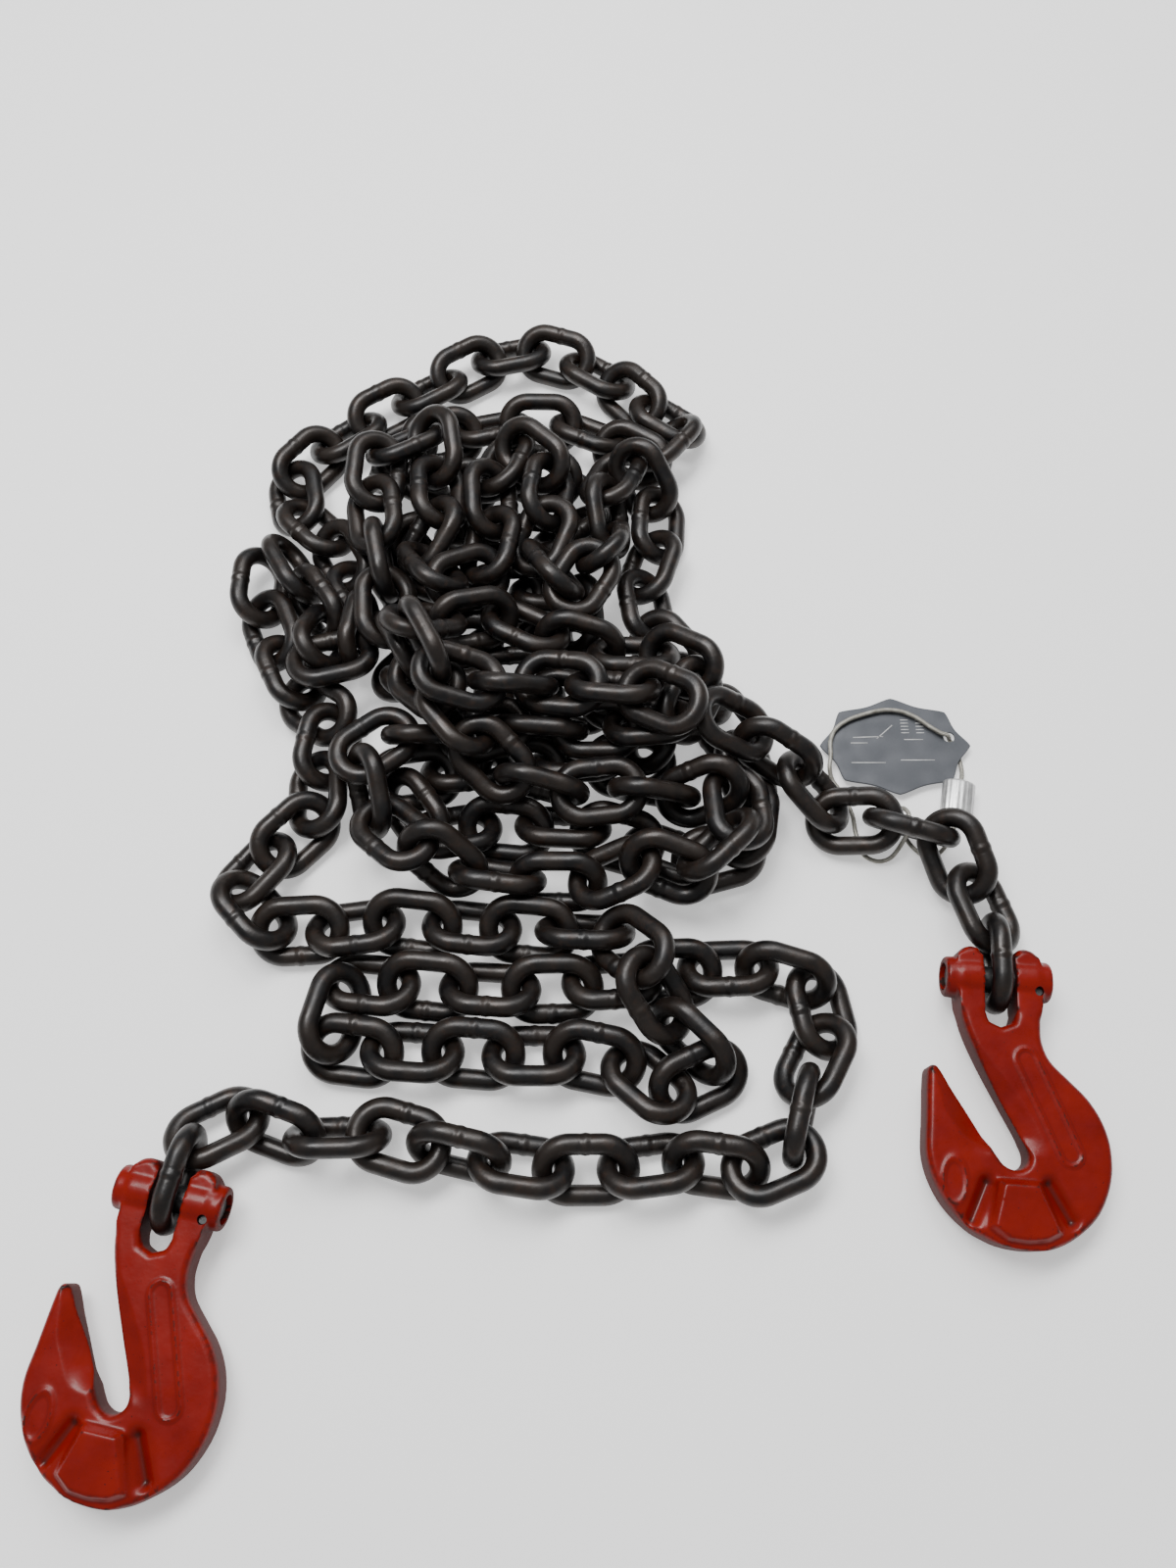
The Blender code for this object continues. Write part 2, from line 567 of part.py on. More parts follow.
def make_hook(side, pose, paint, steel):
    _, pin = hook_matrix(pose)
    reach = BOSS_HALF + 4
    shapes = [
        rounded_slab(HOOK_OUTLINE, HOOK_HALF_THICK, EDGE_ROUND),
        peg((SLOT_HALF, 0, 0), (BOSS_HALF, 0, 0), BOSS_RADIUS, 20),
        peg((-SLOT_HALF, 0, 0), (-BOSS_HALF, 0, 0), BOSS_RADIUS, 20),
        wing(-1),
        wing(1),
    ]
    cuts = [
        peg((-reach, 0, 0), (reach, 0, 0), LOAD_PIN_RADIUS + GAP + 0.1, 20),
        peg((GROOVE_X, RETAINER_Y, -reach), (GROOVE_X, RETAINER_Y, reach), RETAINER_RADIUS + GAP, 10),
    ]
    posed = [in_hook(s, pose) for s in shapes]
    united(f"hook_{side}", posed, paint, pin, [in_hook(s, pose) for s in cuts])
    rings = [
        circle(x, radius)
        for x, radius in (
            (-LOAD_PIN_HALF, LOAD_PIN_RADIUS - 1), (1 - LOAD_PIN_HALF, LOAD_PIN_RADIUS),
            (GROOVE_X - GROOVE_HALF, LOAD_PIN_RADIUS), (GROOVE_X - GROOVE_HALF, GROOVE_RADIUS),
            (GROOVE_X + GROOVE_HALF, GROOVE_RADIUS), (GROOVE_X + GROOVE_HALF, LOAD_PIN_RADIUS),
            (LOAD_PIN_HALF - 1, LOAD_PIN_RADIUS), (LOAD_PIN_HALF, LOAD_PIN_RADIUS - 1),
        )
    ]
    new_object(f"load_pin_{side}", *in_hook(loft(rings), pose), steel, pin)
    spring = peg((GROOVE_X, RETAINER_Y, -8), (GROOVE_X, RETAINER_Y, 7), RETAINER_RADIUS, 8)
    new_object(f"retaining_pin_{side}", *in_hook(spring, pose), steel, pin)


def circle(x, radius, sides=16):
    """A ring of points round the load pin's axis."""
    turn = 2 * math.pi * np.arange(sides) / sides
    return np.stack([np.full(sides, x), radius * np.cos(turn), radius * np.sin(turn)], axis=1)



# ---- tag, its wire and the ferrule
TAG_CENTRE = np.array((162.5, 52.6, 4.2))
TAG_THICK = 1.2
TAG_HALF = (37.5, 26.5)
TAG_LOBES = 8
TAG_WAVE = 0.055
TAG_STEPS = 48
TAG_HOLE = (29.0, 5.0)
TAG_HOLE_RADIUS = 3.0
WIRE_RADIUS = 1.2
WIRE_BEVEL = 2
WIRE_STEPS = 2
FERRULE_CENTRE = np.array((190.8, 18.6, 6.5))
FERRULE_TURN = math.radians(-11.5)
FERRULE_LENGTH = 18.0
BARREL_RADIUS = 4.6
BARREL_X = 3.2

# hand-chosen route of the wire: from the ferrule, once round the tied link, and through the tag
WIRE_ROUTE = [
    (188.8, 9.2, 6.5), (186.5, 2, 4.2), (182, -5, 2.2), (175, -10, 1.7), (168.5, -6, 1.7),
    (164, 0.5, 1.6), (163, 7, 1.7), (161, 13, 4.5), (161, 14, 11), (162.5, 9, 15.8), (162, 1, 16),
    (159, -5, 10), (154, -10.5, 4), (147, -11.5, 1.9), (140.5, -7, 1.7), (138, 4, 1.8), (137, 14, 2),
    (133, 25, 2.5), (128, 33, 3.5), (126.5, 39, 6), (127.5, 46, 6.8), (128, 54, 6.8), (131, 61, 6.8),
    (138, 66.5, 6.8), (147, 70, 6.8), (157, 72.5, 6.8), (166, 72, 6.8), (174, 68.5, 6.8),
    (181, 63, 6.8), (186.5, 59, 7), (189.6, 57.9, 7), (191.2, 57.1, 5.2), (191.9, 56.8, 3.2),
    (193.6, 55, 1.7), (195.5, 51, 1.6), (196.5, 44, 1.8), (196.5, 38, 2.6), (195, 33, 5),
    (192.8, 28.2, 6.5),
]


def tag_point(x, y, w):
    return TAG_CENTRE + np.array((x, y, w))


def tag_outline():
    points = []
    for k in range(TAG_STEPS):
        t = 2 * math.pi * k / TAG_STEPS
        wave = 1 + TAG_WAVE * math.cos(TAG_LOBES * t)
        points.append((TAG_HALF[0] * wave * math.cos(t), TAG_HALF[1] * wave * math.sin(t)))
    return points


def make_tag(zinc):
    rings = [
        np.array([tag_point(x, y, w) for x, y in tag_outline()])
        for w in (-TAG_THICK / 2, TAG_THICK / 2)
    ]
    x, y = TAG_HOLE
    hole = peg(tag_point(x, y, -3), tag_point(x, y, 3), TAG_HOLE_RADIUS, 12)
    united("tag_plate", [loft(rings)], zinc, tag_point(x, y, 0), [hole])


def wire_curve(name, points, radius, mat, origin):
    """A round wire along a line of points, as a curve with a bevel and filled caps."""
    curve = bpy.data.curves.new(name, "CURVE")
    curve.dimensions = "3D"
    curve.bevel_depth = radius * MM
    curve.bevel_resolution = WIRE_BEVEL
    curve.use_fill_caps = True
    spline = curve.splines.new("POLY")
    spline.points.add(len(points) - 1)
    for spot, place in zip(spline.points, (np.asarray(points) - origin) * MM):
        spot.co = (*place, 1)
    curve.materials.append(mat)
    obj = bpy.data.objects.new(name, curve)
    bpy.context.scene.collection.objects.link(obj)
    obj.location = (np.array(origin) - ORIGIN) * MM


def make_wire(centres, axes, steel, aluminium):
    tied = len(centres) + TIED
    bar = centres[tied] + HALF_WIDTH * axes[tied][:, 1] * (-1 if axes[tied][2, 1] > 0 else 1)
    wire_curve("tag_wire", smooth_curve(WIRE_ROUTE, WIRE_STEPS), WIRE_RADIUS, steel, bar)
    outline = []
    for side in (1, -1):
        for k in range(7):
            t = math.radians(-75 + 25 * k) if side > 0 else math.radians(105 + 25 * k)
            outline.append((side * BARREL_X + BARREL_RADIUS * math.cos(t), BARREL_RADIUS * math.sin(t)))
    c, s = math.cos(FERRULE_TURN), math.sin(FERRULE_TURN)
    along, across = np.array((-s, c, 0)), np.array((c, s, 0))
    rings = [
        np.array([FERRULE_CENTRE + x * across + end * along + (0, 0, z) for x, z in outline])
        for end in (-FERRULE_LENGTH / 2, FERRULE_LENGTH / 2)
    ]
    new_object("wire_ferrule", *loft(rings[::-1]), aluminium, bar)


# ---- build
def clear_scene():
    for obj in list(bpy.data.objects):
        bpy.data.objects.remove(obj)


def main():
    clear_scene()
    oiled = material("oiled_chain", (0.035, 0.03, 0.03), 0.85, 0.42)
    paint = material("red_paint", (0.55, 0.06, 0.04), 0.0, 0.35)
    steel = material("plated_steel", (0.55, 0.55, 0.53), 1.0, 0.4)
    dark = material("pin_steel", (0.06, 0.055, 0.055), 1.0, 0.45)
    zinc = material("zinc_tag", (0.42, 0.44, 0.46), 0.9, 0.5)
    aluminium = material("ferrule_aluminium", (0.75, 0.74, 0.73), 0.9, 0.45)
    centres, axes, groups, _ = lay_chain()
    make_chain(centres, axes, groups, oiled)
    make_hook("left", LEFT_HOOK, paint, dark)
    make_hook("right", RIGHT_HOOK, paint, dark)
    make_tag(zinc)
    make_wire(centres, axes, steel, aluminium)


main()
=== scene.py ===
"""Looks of the load binder chain: fine links, forged hooks, tag, wire and ferrule on the frame.
The links are laid by the same rule as the frame's, so each lies where its plain one does."""
import json
import math

import bmesh
import bpy
import numpy as np
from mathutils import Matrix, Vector

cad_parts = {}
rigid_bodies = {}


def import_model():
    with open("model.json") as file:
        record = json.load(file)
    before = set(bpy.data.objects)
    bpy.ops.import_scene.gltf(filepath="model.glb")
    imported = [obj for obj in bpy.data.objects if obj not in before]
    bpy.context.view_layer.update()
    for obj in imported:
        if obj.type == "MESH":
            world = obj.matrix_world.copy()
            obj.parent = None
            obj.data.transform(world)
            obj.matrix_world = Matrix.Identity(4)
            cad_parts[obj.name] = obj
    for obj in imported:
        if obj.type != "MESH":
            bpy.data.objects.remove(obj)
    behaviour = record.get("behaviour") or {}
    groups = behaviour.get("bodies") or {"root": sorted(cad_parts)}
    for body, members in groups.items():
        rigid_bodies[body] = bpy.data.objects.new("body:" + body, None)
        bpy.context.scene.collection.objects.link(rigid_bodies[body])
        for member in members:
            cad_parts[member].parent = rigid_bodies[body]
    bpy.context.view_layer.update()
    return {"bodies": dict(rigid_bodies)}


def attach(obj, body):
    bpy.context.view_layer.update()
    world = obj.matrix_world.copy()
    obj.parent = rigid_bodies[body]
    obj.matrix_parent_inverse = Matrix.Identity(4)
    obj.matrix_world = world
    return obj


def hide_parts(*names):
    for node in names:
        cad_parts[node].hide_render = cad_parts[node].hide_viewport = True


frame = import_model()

# ---- chain link: 10 mm bar, 30 mm pitch
BAR = 10.0
PITCH = 30.0
INSIDE_WIDTH = 15.0
HALF_WIDTH = (INSIDE_WIDTH + BAR) / 2
CROWN_X = (PITCH + BAR) / 2
CROWN_Y = HALF_WIDTH * math.tan(math.radians(22.5))
STRAIGHT = CROWN_X - HALF_WIDTH + CROWN_Y
LINK_CORNERS = np.array(
    [
        (STRAIGHT, -HALF_WIDTH, 0),
        (CROWN_X, -CROWN_Y, 0),
        (CROWN_X, CROWN_Y, 0),
        (STRAIGHT, HALF_WIDTH, 0),
        (-STRAIGHT, HALF_WIDTH, 0),
        (-CROWN_X, CROWN_Y, 0),
        (-CROWN_X, -CROWN_Y, 0),
        (-STRAIGHT, -HALF_WIDTH, 0),
    ],
    float,
)

# ---- clevis grab hook, in its own frame: x along the load pin, y towards the clevis, pin at 0, 0
EAR_TOP = 12.5
HOOK_PITCH = math.radians(3.0)
PIN_HEIGHT = 18.0
PIN_TO_LINK = 8.4
EAR_RING_OFFSETS = (13.5, 4.5)   # rings that fill the ears: how far out, and above mid-thickness

# hook pose on the floor: pin x, pin y, turn of the hook's +y from the floor's +Y, anticlockwise
LEFT_HOOK = (-185.0, -177.5, math.radians(-12))
RIGHT_HOOK = (194.5, -78.0, math.radians(-4))

# ---- route of the chain from the left hook to the right one, given on the floor plan
LEFT_RUN = [
    (-154, -139, 18), (-129, -152, 15), (-99, -148, 15), (-69, -156, 15), (-39, -163, 15),
    (-7, -165, 15), (24, -164, 15), (56, -160, 15), (82, -167, 15), (102, -145, 17),
    (101, -116, 17), (119, -95, 16), (99, -73, 15), (72, -72, 15), (42, -72, 15),
]
FRONT_ROW = [(10, -78, 14), (-25, -80, 14), (-65, -80, 14), (-100, -78, 15), (-130, -82, 18)]
FRONT_RETURN = [(-125, -102, 18), (-95, -106, 14), (-50, -106, 14), (-5, -110, 14), (25, -120, 16)]
FRONT_KNOT = [(45, -134, 20), (57, -120, 24), (54, -100, 30), (34, -92, 34), (33, -66, 36)]
THIRD_ROW = [
    (15, -52, 34), (-15, -58, 30), (-40, -50, 30), (-70, -56, 30), (-100, -54, 32),
    (-130, -56, 32), (-155, -50, 30), (-176, -40, 24),
]
LEFT_TURN = [(-168, -20, 20), (-146, -4, 20), (-138, 20, 22), (-124, 42, 22), (-128, 62, 20)]
LEFT_RIM = [(-148, 78, 16), (-164, 98, 14), (-170, 126, 14), (-170, 152, 18), (-152, 166, 20)]
UPPER_WEAVE = [(-142, 138, 30), (-144, 108, 32), (-134, 84, 32), (-120, 108, 36), (-128, 146, 34)]
BACK_RIM = [
    (-144, 176, 26), (-166, 192, 18), (-174, 218, 18), (-156, 240, 18), (-128, 252, 18),
    (-104, 276, 18), (-72, 300, 20), (-48, 318, 22), (-18, 312, 20), (8, 296, 20), (30, 274, 20),
    (46, 248, 22), (42, 222, 18),
]
FLOOR_BACK = [
    (14, 246, 14), (-24, 262, 14), (-62, 256, 14), (-96, 236, 14), (-114, 212, 14),
    (-92, 206, 14), (-52, 220, 14), (-12, 214, 14), (10, 194, 14), (-14, 180, 14),
    (-52, 182, 14), (-90, 176, 14), (-108, 156, 14), (-84, 144, 14), (-46, 146, 14),
    (-12, 142, 14), (6, 124, 14), (-16, 108, 14), (-54, 112, 14), (-88, 106, 14),
]
FLOOR_FRONT = [
    (-106, 88, 14), (-84, 74, 14), (-46, 76, 14), (-8, 74, 14), (26, 70, 14), (46, 52, 14),
    (22, 38, 14), (-18, 40, 14), (-58, 40, 14), (-92, 34, 14), (-102, 12, 14), (-76, 4, 14),
    (-38, 6, 14), (0, 4, 14), (32, -4, 14), (52, -22, 16), (76, -12, 18), (86, 16, 18),
    (82, 44, 18),
]
RIGHT_COLUMN = [
    (66, 68, 22), (46, 88, 24), (34, 112, 24), (28, 140, 24), (30, 170, 26), (38, 198, 32),
]
TOP_WEAVE = [
    (26, 222, 38), (6, 212, 42), (4, 182, 44), (6, 150, 44), (-4, 124, 44), (-24, 134, 46),
    (-24, 168, 46), (-22, 202, 46), (-36, 226, 46), (-52, 202, 46), (-54, 170, 46),
    (-56, 138, 46), (-72, 122, 48), (-84, 148, 48), (-84, 182, 48), (-82, 214, 46),
    (-96, 240, 46),
]
INNER_CLIMB = [(-112, 222, 44), (-118, 192, 44), (-114, 160, 46), (-108, 128, 48), (-96, 94, 52)]
INNER_ROW = [(-82, 62, 58), (-62, 34, 56), (-32, 18, 48), (4, 16, 44), (42, 18, 42), (68, 30, 38)]
FOURTH_ROW = [
    (82, 8, 34), (72, -16, 34), (46, -14, 36), (20, -22, 38), (-8, -26, 40), (-38, -24, 42),
    (-68, -18, 42), (-92, -2, 42), (-112, 22, 42),
]
MIDDLE_ROW = [(-112, 50, 40), (-78, 54, 38), (-40, 50, 36), (0, 52, 36), (36, 52, 38), (62, 66, 44)]
TOP_TURN = [(40, 88, 54), (10, 96, 60), (-20, 104, 64), (-44, 118, 66), (-72, 110, 68)]
TOP_ROW = [
    (-92, 92, 72), (-90, 66, 72), (-62, 62, 66), (-28, 52, 62), (5, 62, 60), (34, 50, 58),
]
RIGHT_RUN = [
    (58, 50, 50), (81, 44, 40), (103, 26, 30), (118, 8, 20), (147, 6, 18), (176, 3, 19),
    (186, -25, 18), (192, -54, 18),
]
PILE = (
    FRONT_ROW + FRONT_RETURN + FRONT_KNOT + THIRD_ROW + LEFT_TURN + LEFT_RIM + UPPER_WEAVE
    + BACK_RIM + FLOOR_BACK + FLOOR_FRONT + RIGHT_COLUMN + TOP_WEAVE + INNER_CLIMB + INNER_ROW
    + FOURTH_ROW + MIDDLE_ROW + TOP_TURN + TOP_ROW
)
# how far each free link is rolled from lying flat, in degrees, in order from left to right
LEFT_ROLLS = (-15, 60, -58, 5, 62, -35, 35, -45, 48, -10, 85, -30, 25, -62, 15)
RIGHT_ROLLS = (10, 65, -30, 25, 90, 35, -20)
TIED = -4                 # the link the tag is tied to, counted back from the right clevis link
WIRE_ROOM = 3.2           # it rests on the wire, clear of the floor
PILE_ROLL = 45


def unit(v):
    return v / np.linalg.norm(v, axis=-1, keepdims=True)


def smooth_curve(points, steps=16):
    """Points along a Catmull-Rom curve through the route's own points."""
    p = np.array(points, float)
    p = np.vstack([2 * p[0] - p[1], p, 2 * p[-1] - p[-2]])
    t = np.linspace(0, 1, steps, endpoint=False)[:, None]
    out = []
    for a, b, c, d in zip(p, p[1:], p[2:], p[3:]):
        bend = 2 * b + (c - a) * t + (2 * a - 5 * b + 4 * c - d) * t**2
        out.append((bend + (3 * b - a - 3 * c + d) * t**3) / 2)
    out.append(p[-2:-1])
    return np.vstack(out)


def evenly_spaced(curve, count):
    """count + 1 points spaced evenly along a curve."""
    run = np.concatenate([[0], np.cumsum(np.linalg.norm(np.diff(curve, axis=0), axis=1))])
    at = np.linspace(0, run[-1], count + 1)
    return np.stack([np.interp(at, run, curve[:, k]) for k in range(3)], axis=1)


def hook_matrix(pose):
    """Rotation of a hook lying on the floor, its clevis a little raised, and its pin's place."""
    x, y, turn = pose
    c, s, cp, sp = math.cos(turn), math.sin(turn), math.cos(HOOK_PITCH), math.sin(HOOK_PITCH)
    rotation = np.array(((c, -s * cp, s * sp), (s, c * cp, -c * sp), (0, sp, cp)))
    return rotation, np.array((x, y, PIN_HEIGHT))


# ---- laying the links: each one is a rigid ring, and rings are eased apart until none overlap
CLEAR = BAR + 0.35        # least distance between the bar centrelines of separate links
JOINED = BAR - 0.1        # the same where two neighbours are modelled as one solid
HOLD = 12.8               # how far apart the crowns of two neighbours may be
LIFT = 1.9                # the pile starts this much taller, and sinks onto itself
TURN_INERTIA = 225.0      # a link's radius of gyration, squared
OVER_EASE = 1.5           # how much faster than evenly crowded links are eased
SINK_STEPS = 260
EASE_STEPS = 460
SINK = 0.35
RUN_TURN_PULL = 0.12      # how firmly the single links keep the turn they are given
RUN_PULL = 0.12           # how firmly the single links keep their place on the plan
PILE_PULL = 0.03          # the same for the pile's links
LAYER = 16.0              # links that start above this height are lifted
NEAR = 53.0               # links whose centres are farther apart than this can't touch
PAIRS_EVERY = 8           # steps between two searches for near links


def frames_along(joints, rolls):
    """Centre and axes of each link between two neighbouring joint points."""
    along = unit(np.diff(joints, axis=0))
    side = unit(np.cross((0, 0, 1.0), along))
    up = np.cross(along, side)
    roll = np.radians(rolls)[:, None]
    wide = np.cos(roll) * side + np.sin(roll) * up
    centres = (joints[1:] + joints[:-1]) / 2
    return centres, np.stack([along, wide, np.cross(along, wide)], axis=2)


def closest(p, d, q, e):
    """Closest points between segments p..p+d and q..q+e, as fractions along each."""
    r = p - q
    a, ee = (d * d).sum(-1), (e * e).sum(-1)
    b, c, f = (d * e).sum(-1), (d * r).sum(-1), (e * r).sum(-1)
    wide = a * ee - b * b
    s = np.clip((b * f - c * ee) / np.maximum(wide, 1e-9), 0, 1)
    t = (b * s + f) / ee
    t_in = np.clip(t, 0, 1)
    s = np.where(t != t_in, np.clip((b * t_in - c) / a, 0, 1), s)
    return s, t_in


def near_pairs(centres):
    gap = np.linalg.norm(centres[:, None] - centres[None], axis=2)
    return np.nonzero(np.triu(gap < NEAR, 2))


def turned(axes, turns):
    """Each link's axes, turned by a small rotation vector and squared up again."""
    x = unit(axes[:, :, 0] + np.cross(turns, axes[:, :, 0]))
    y = axes[:, :, 1] + np.cross(turns, axes[:, :, 1])
    y = unit(y - (x * y).sum(1, keepdims=True) * x)
    return np.stack([x, y, np.cross(x, y)], axis=2)


def ring_gaps(centres, axes, a, b):
    """For each pair of links, where their centrelines come closest, and how close."""
    rings = centres[:, None] + np.einsum("nij,kj->nki", axes, LINK_CORNERS)
    spans = np.roll(rings, -1, axis=1) - rings
    p, d = rings[a][:, :, None], spans[a][:, :, None]
    q, e = rings[b][:, None], spans[b][:, None]
    s, t = closest(p, d, q, e)
    on_a, on_b = p + s[..., None] * d, q + t[..., None] * e
    gap = np.linalg.norm(on_a - on_b, axis=-1).reshape(len(a), -1)
    least = gap.argmin(axis=1)
    row = np.arange(len(a))
    flat = (len(a), -1, 3)
    return gap[row, least], on_a.reshape(flat)[row, least], on_b.reshape(flat)[row, least]


def ear_rings(pose):
    """Fixed rings that fill the two ears of a hook, so that no link is laid through them."""
    turn, pin = hook_matrix(pose)
    flat = turn[:, (1, 0, 2)] * (1, 1, -1)
    x, w = EAR_RING_OFFSETS
    spots = [(i * x, EAR_TOP - PITCH / 2 - BAR, j * w) for i in (-1, 1) for j in (-1, 1)]
    return pin + np.array(spots) @ turn.T, np.stack([flat] * len(spots))


def give(arm, normal):
    return 1 + (np.cross(arm, normal) ** 2).sum(1) / TURN_INERTIA


def eased(centres, axes, held, i, j, arm_i, arm_j, step):
    """Links i moved by a share of step, and links j the other way, each at the end of its arm."""
    normal = step / np.maximum(np.linalg.norm(step, axis=1), 1e-9)[:, None]
    step = step / (give(arm_i, normal) + give(arm_j, normal))[:, None]
    moves, turns, counts = np.zeros_like(centres), np.zeros_like(centres), np.zeros(len(centres))
    for link, arm, sign in ((i, arm_i, 1), (j, arm_j, -1)):
        np.add.at(moves, link, sign * step)
        np.add.at(turns, link, sign * np.cross(arm, step) / TURN_INERTIA)
        np.add.at(counts, link, 1)
    share = np.where(held, 0, OVER_EASE / np.maximum(counts, OVER_EASE))[:, None]
    return np.round(centres + moves * share, 7), np.round(turned(axes, turns * share), 9)


def part_rings(centres, axes, held, a, b, least, one):
    """Ease pairs of links to their least gap. Pairs in one solid are also drawn together."""
    gap, on_a, on_b = ring_gaps(centres, axes, a, b)
    hit = (gap < least) | one
    i, j = a[hit], b[hit]
    away = (on_a[hit] - on_b[hit]) / np.maximum(gap[hit], 1e-6)[:, None]
    step = (least[hit] - gap[hit])[:, None] * away
    return eased(centres, axes, held, i, j, on_a[hit] - centres[i], on_b[hit] - centres[j], step)


def hold_joints(centres, axes, held, a):
    """Keep the crowns by which links a and a + 1 hold each other within reach."""
    crown = np.array((CROWN_X, 0, 0))
    front, rear = axes[a] @ crown, -(axes[a + 1] @ crown)
    apart = centres[a + 1] + rear - centres[a] - front
    length = np.linalg.norm(apart, axis=1)
    far = length > HOLD
    step = apart[far] * (1 - HOLD / length[far])[:, None]
    return eased(centres, axes, held, a[far], a[far] + 1, front[far], rear[far], step)


def lift_off_floor(centres, axes, held, floor):
    rings = axes @ LINK_CORNERS.T
    low = rings[:, 2].argmin(axis=1)
    arm = np.take_along_axis(rings, low[:, None, None], axis=2)[:, :, 0]
    under = floor + BAR / 2 - centres[:, 2] - arm[:, 2]
    down = (under > 0) & ~held
    up = np.tile((0, 0, 1.0), (down.sum(), 1))
    step = (under[down] / give(arm[down], up))[:, None] * up
    centres[down] += step
    turns = np.zeros_like(centres)
    turns[down] = np.cross(arm[down], step) / TURN_INERTIA
    return centres, turned(axes, turns)


def settle_links(centres, axes, held, joined, home_pull, turn_pull):
    """Sink the pile under its weight and ease every link clear of the others, its neighbours'
    hold and the floor. joined[i] says that links i and i + 1 are one solid."""
    home, first = centres.copy(), axes.copy()
    centres = centres.copy()
    centres[:, 2] += (LIFT - 1) * np.where(held, 0, np.maximum(centres[:, 2] - LAYER, 0))
    joints = np.arange(len(joined))
    reach = np.where(joined, JOINED, CLEAR)
    floor = np.zeros(len(centres))
    floor[len(joined) + 1 + TIED] = WIRE_ROOM
    for step in range(SINK_STEPS + EASE_STEPS):
        if step < SINK_STEPS:
            centres[:, 2] -= np.where(held, 0, SINK)
            centres[:, :2] += home_pull[:, None] * (home - centres)[:, :2]
            back = np.cross(axes[:, :, 1], first[:, :, 1]) + np.cross(axes[:, :, 0], first[:, :, 0])
            axes = turned(axes, turn_pull[:, None] * back)
        if step % PAIRS_EVERY == 0:
            a, b = near_pairs(centres)
            least = np.full(len(a), CLEAR)
            none = np.zeros(len(a), bool)
        centres, axes = part_rings(centres, axes, held, a, b, least, none)
        centres, axes = lift_off_floor(centres, axes, held, floor)
        for k in (joints[::2], joints[1::2]) * 2:
            centres, axes = hold_joints(centres, axes, held, k)
            centres, axes = part_rings(centres, axes, held, k, k + 1, reach[k], joined[k])
    return centres, axes


def clevis_link(pose):
    """A link standing on edge in the clevis, hung on the load pin."""
    _, pin = hook_matrix(pose)
    along = np.array((-math.sin(pose[2]), math.cos(pose[2]), 0))
    up = np.array((0, 0, 1.0))
    return pin + PIN_TO_LINK * along, np.stack([along, up, np.cross(along, up)], axis=1)


LINK_SPACING = 29.4
FREE_LEFT = len(LEFT_ROLLS)      # single moving links between the left clevis link and the pile
FREE_RIGHT = len(RIGHT_ROLLS)
GROUP = 7                        # pile links modelled as one solid


def grouping(count):
    """Which links share a node: the free ends link by link, the pile in groups."""
    first, last = 1 + FREE_LEFT, count - 1 - FREE_RIGHT
    cuts = list(range(first, last, GROUP))
    if last - cuts[-1] < 3:
        cuts.pop()
    groups = [range(a, b) for a, b in zip(cuts, cuts[1:] + [last])]
    joined = np.zeros(count - 1, bool)
    for g in groups:
        joined[g.start : g.stop - 1] = True
    return groups, joined


def lay_chain():
    """Every link's centre and axes, from the left clevis link to the right one."""
    ends = [clevis_link(LEFT_HOOK), clevis_link(RIGHT_HOOK)]
    start, stop = (tuple(c + PITCH / 2 * a[:, 0]) for c, a in ends)
    curve = smooth_curve([start] + LEFT_RUN + PILE + RIGHT_RUN[:-1] + [stop])
    length = np.linalg.norm(np.diff(curve, axis=0), axis=1).sum()
    inner = round(length / LINK_SPACING)
    rolls = [PILE_ROLL * (-1) ** k for k in range(inner)]
    rolls[:FREE_LEFT] = LEFT_ROLLS
    rolls[-FREE_RIGHT:] = RIGHT_ROLLS
    centres, axes = frames_along(evenly_spaced(curve, inner), rolls)
    centres = np.vstack([ends[0][0][None], centres, ends[1][0][None]])
    # the right clevis link is met from behind, so it faces the other way along the chain
    behind = ends[1][1] * (-1, 1, -1)
    axes = np.concatenate([ends[0][1][None], axes, behind[None]])
    count = len(centres)
    groups, joined = grouping(count)
    home_pull = np.full(count, PILE_PULL)
    home_pull[: 1 + FREE_LEFT] = home_pull[-1 - FREE_RIGHT :] = RUN_PULL
    ears = [ear_rings(pose) for pose in (LEFT_HOOK, RIGHT_HOOK)]
    centres = np.vstack([centres] + [e[0] for e in ears])
    axes = np.concatenate([axes] + [e[1] for e in ears])
    home_pull = np.append(home_pull, np.zeros(len(centres) - count))
    fixed = home_pull == 0
    fixed[[0, count - 1]] = True
    turn_pull = np.where(home_pull == RUN_PULL, RUN_TURN_PULL, 0)
    centres, axes = settle_links(centres, axes, fixed, joined, home_pull, turn_pull)
    return centres[:count], axes[:count], groups, joined


# ---- looks: fine meshes laid where the frame has its plain ones
ORIGIN = np.array((-0.842, 15.786, 0))   # the frame's origin on the floor plan
MM = 0.001
LINK_STATIONS = 76
LINK_SIDES = 18
EASE = 0.12               # the bar is drawn this much slimmer, so that round bars clear each other
WELD_RISE = 0.32          # how far the weld's ring stands proud of the bar
WELD_WIDTH = 1.3
WELD_STATIONS = 15        # how many of the stations crowd round the weld
WELD_SPAN = 3.2           # how far from the weld they reach
PLAIN_FROM = 3.8          # where the other stations begin
GROOVE_DEPTH = 0.08       # a faint groove on each side of the ring
GROOVE_AT = 1.9           # its distance from the weld, in weld widths
GROOVE_TIGHTNESS = 4


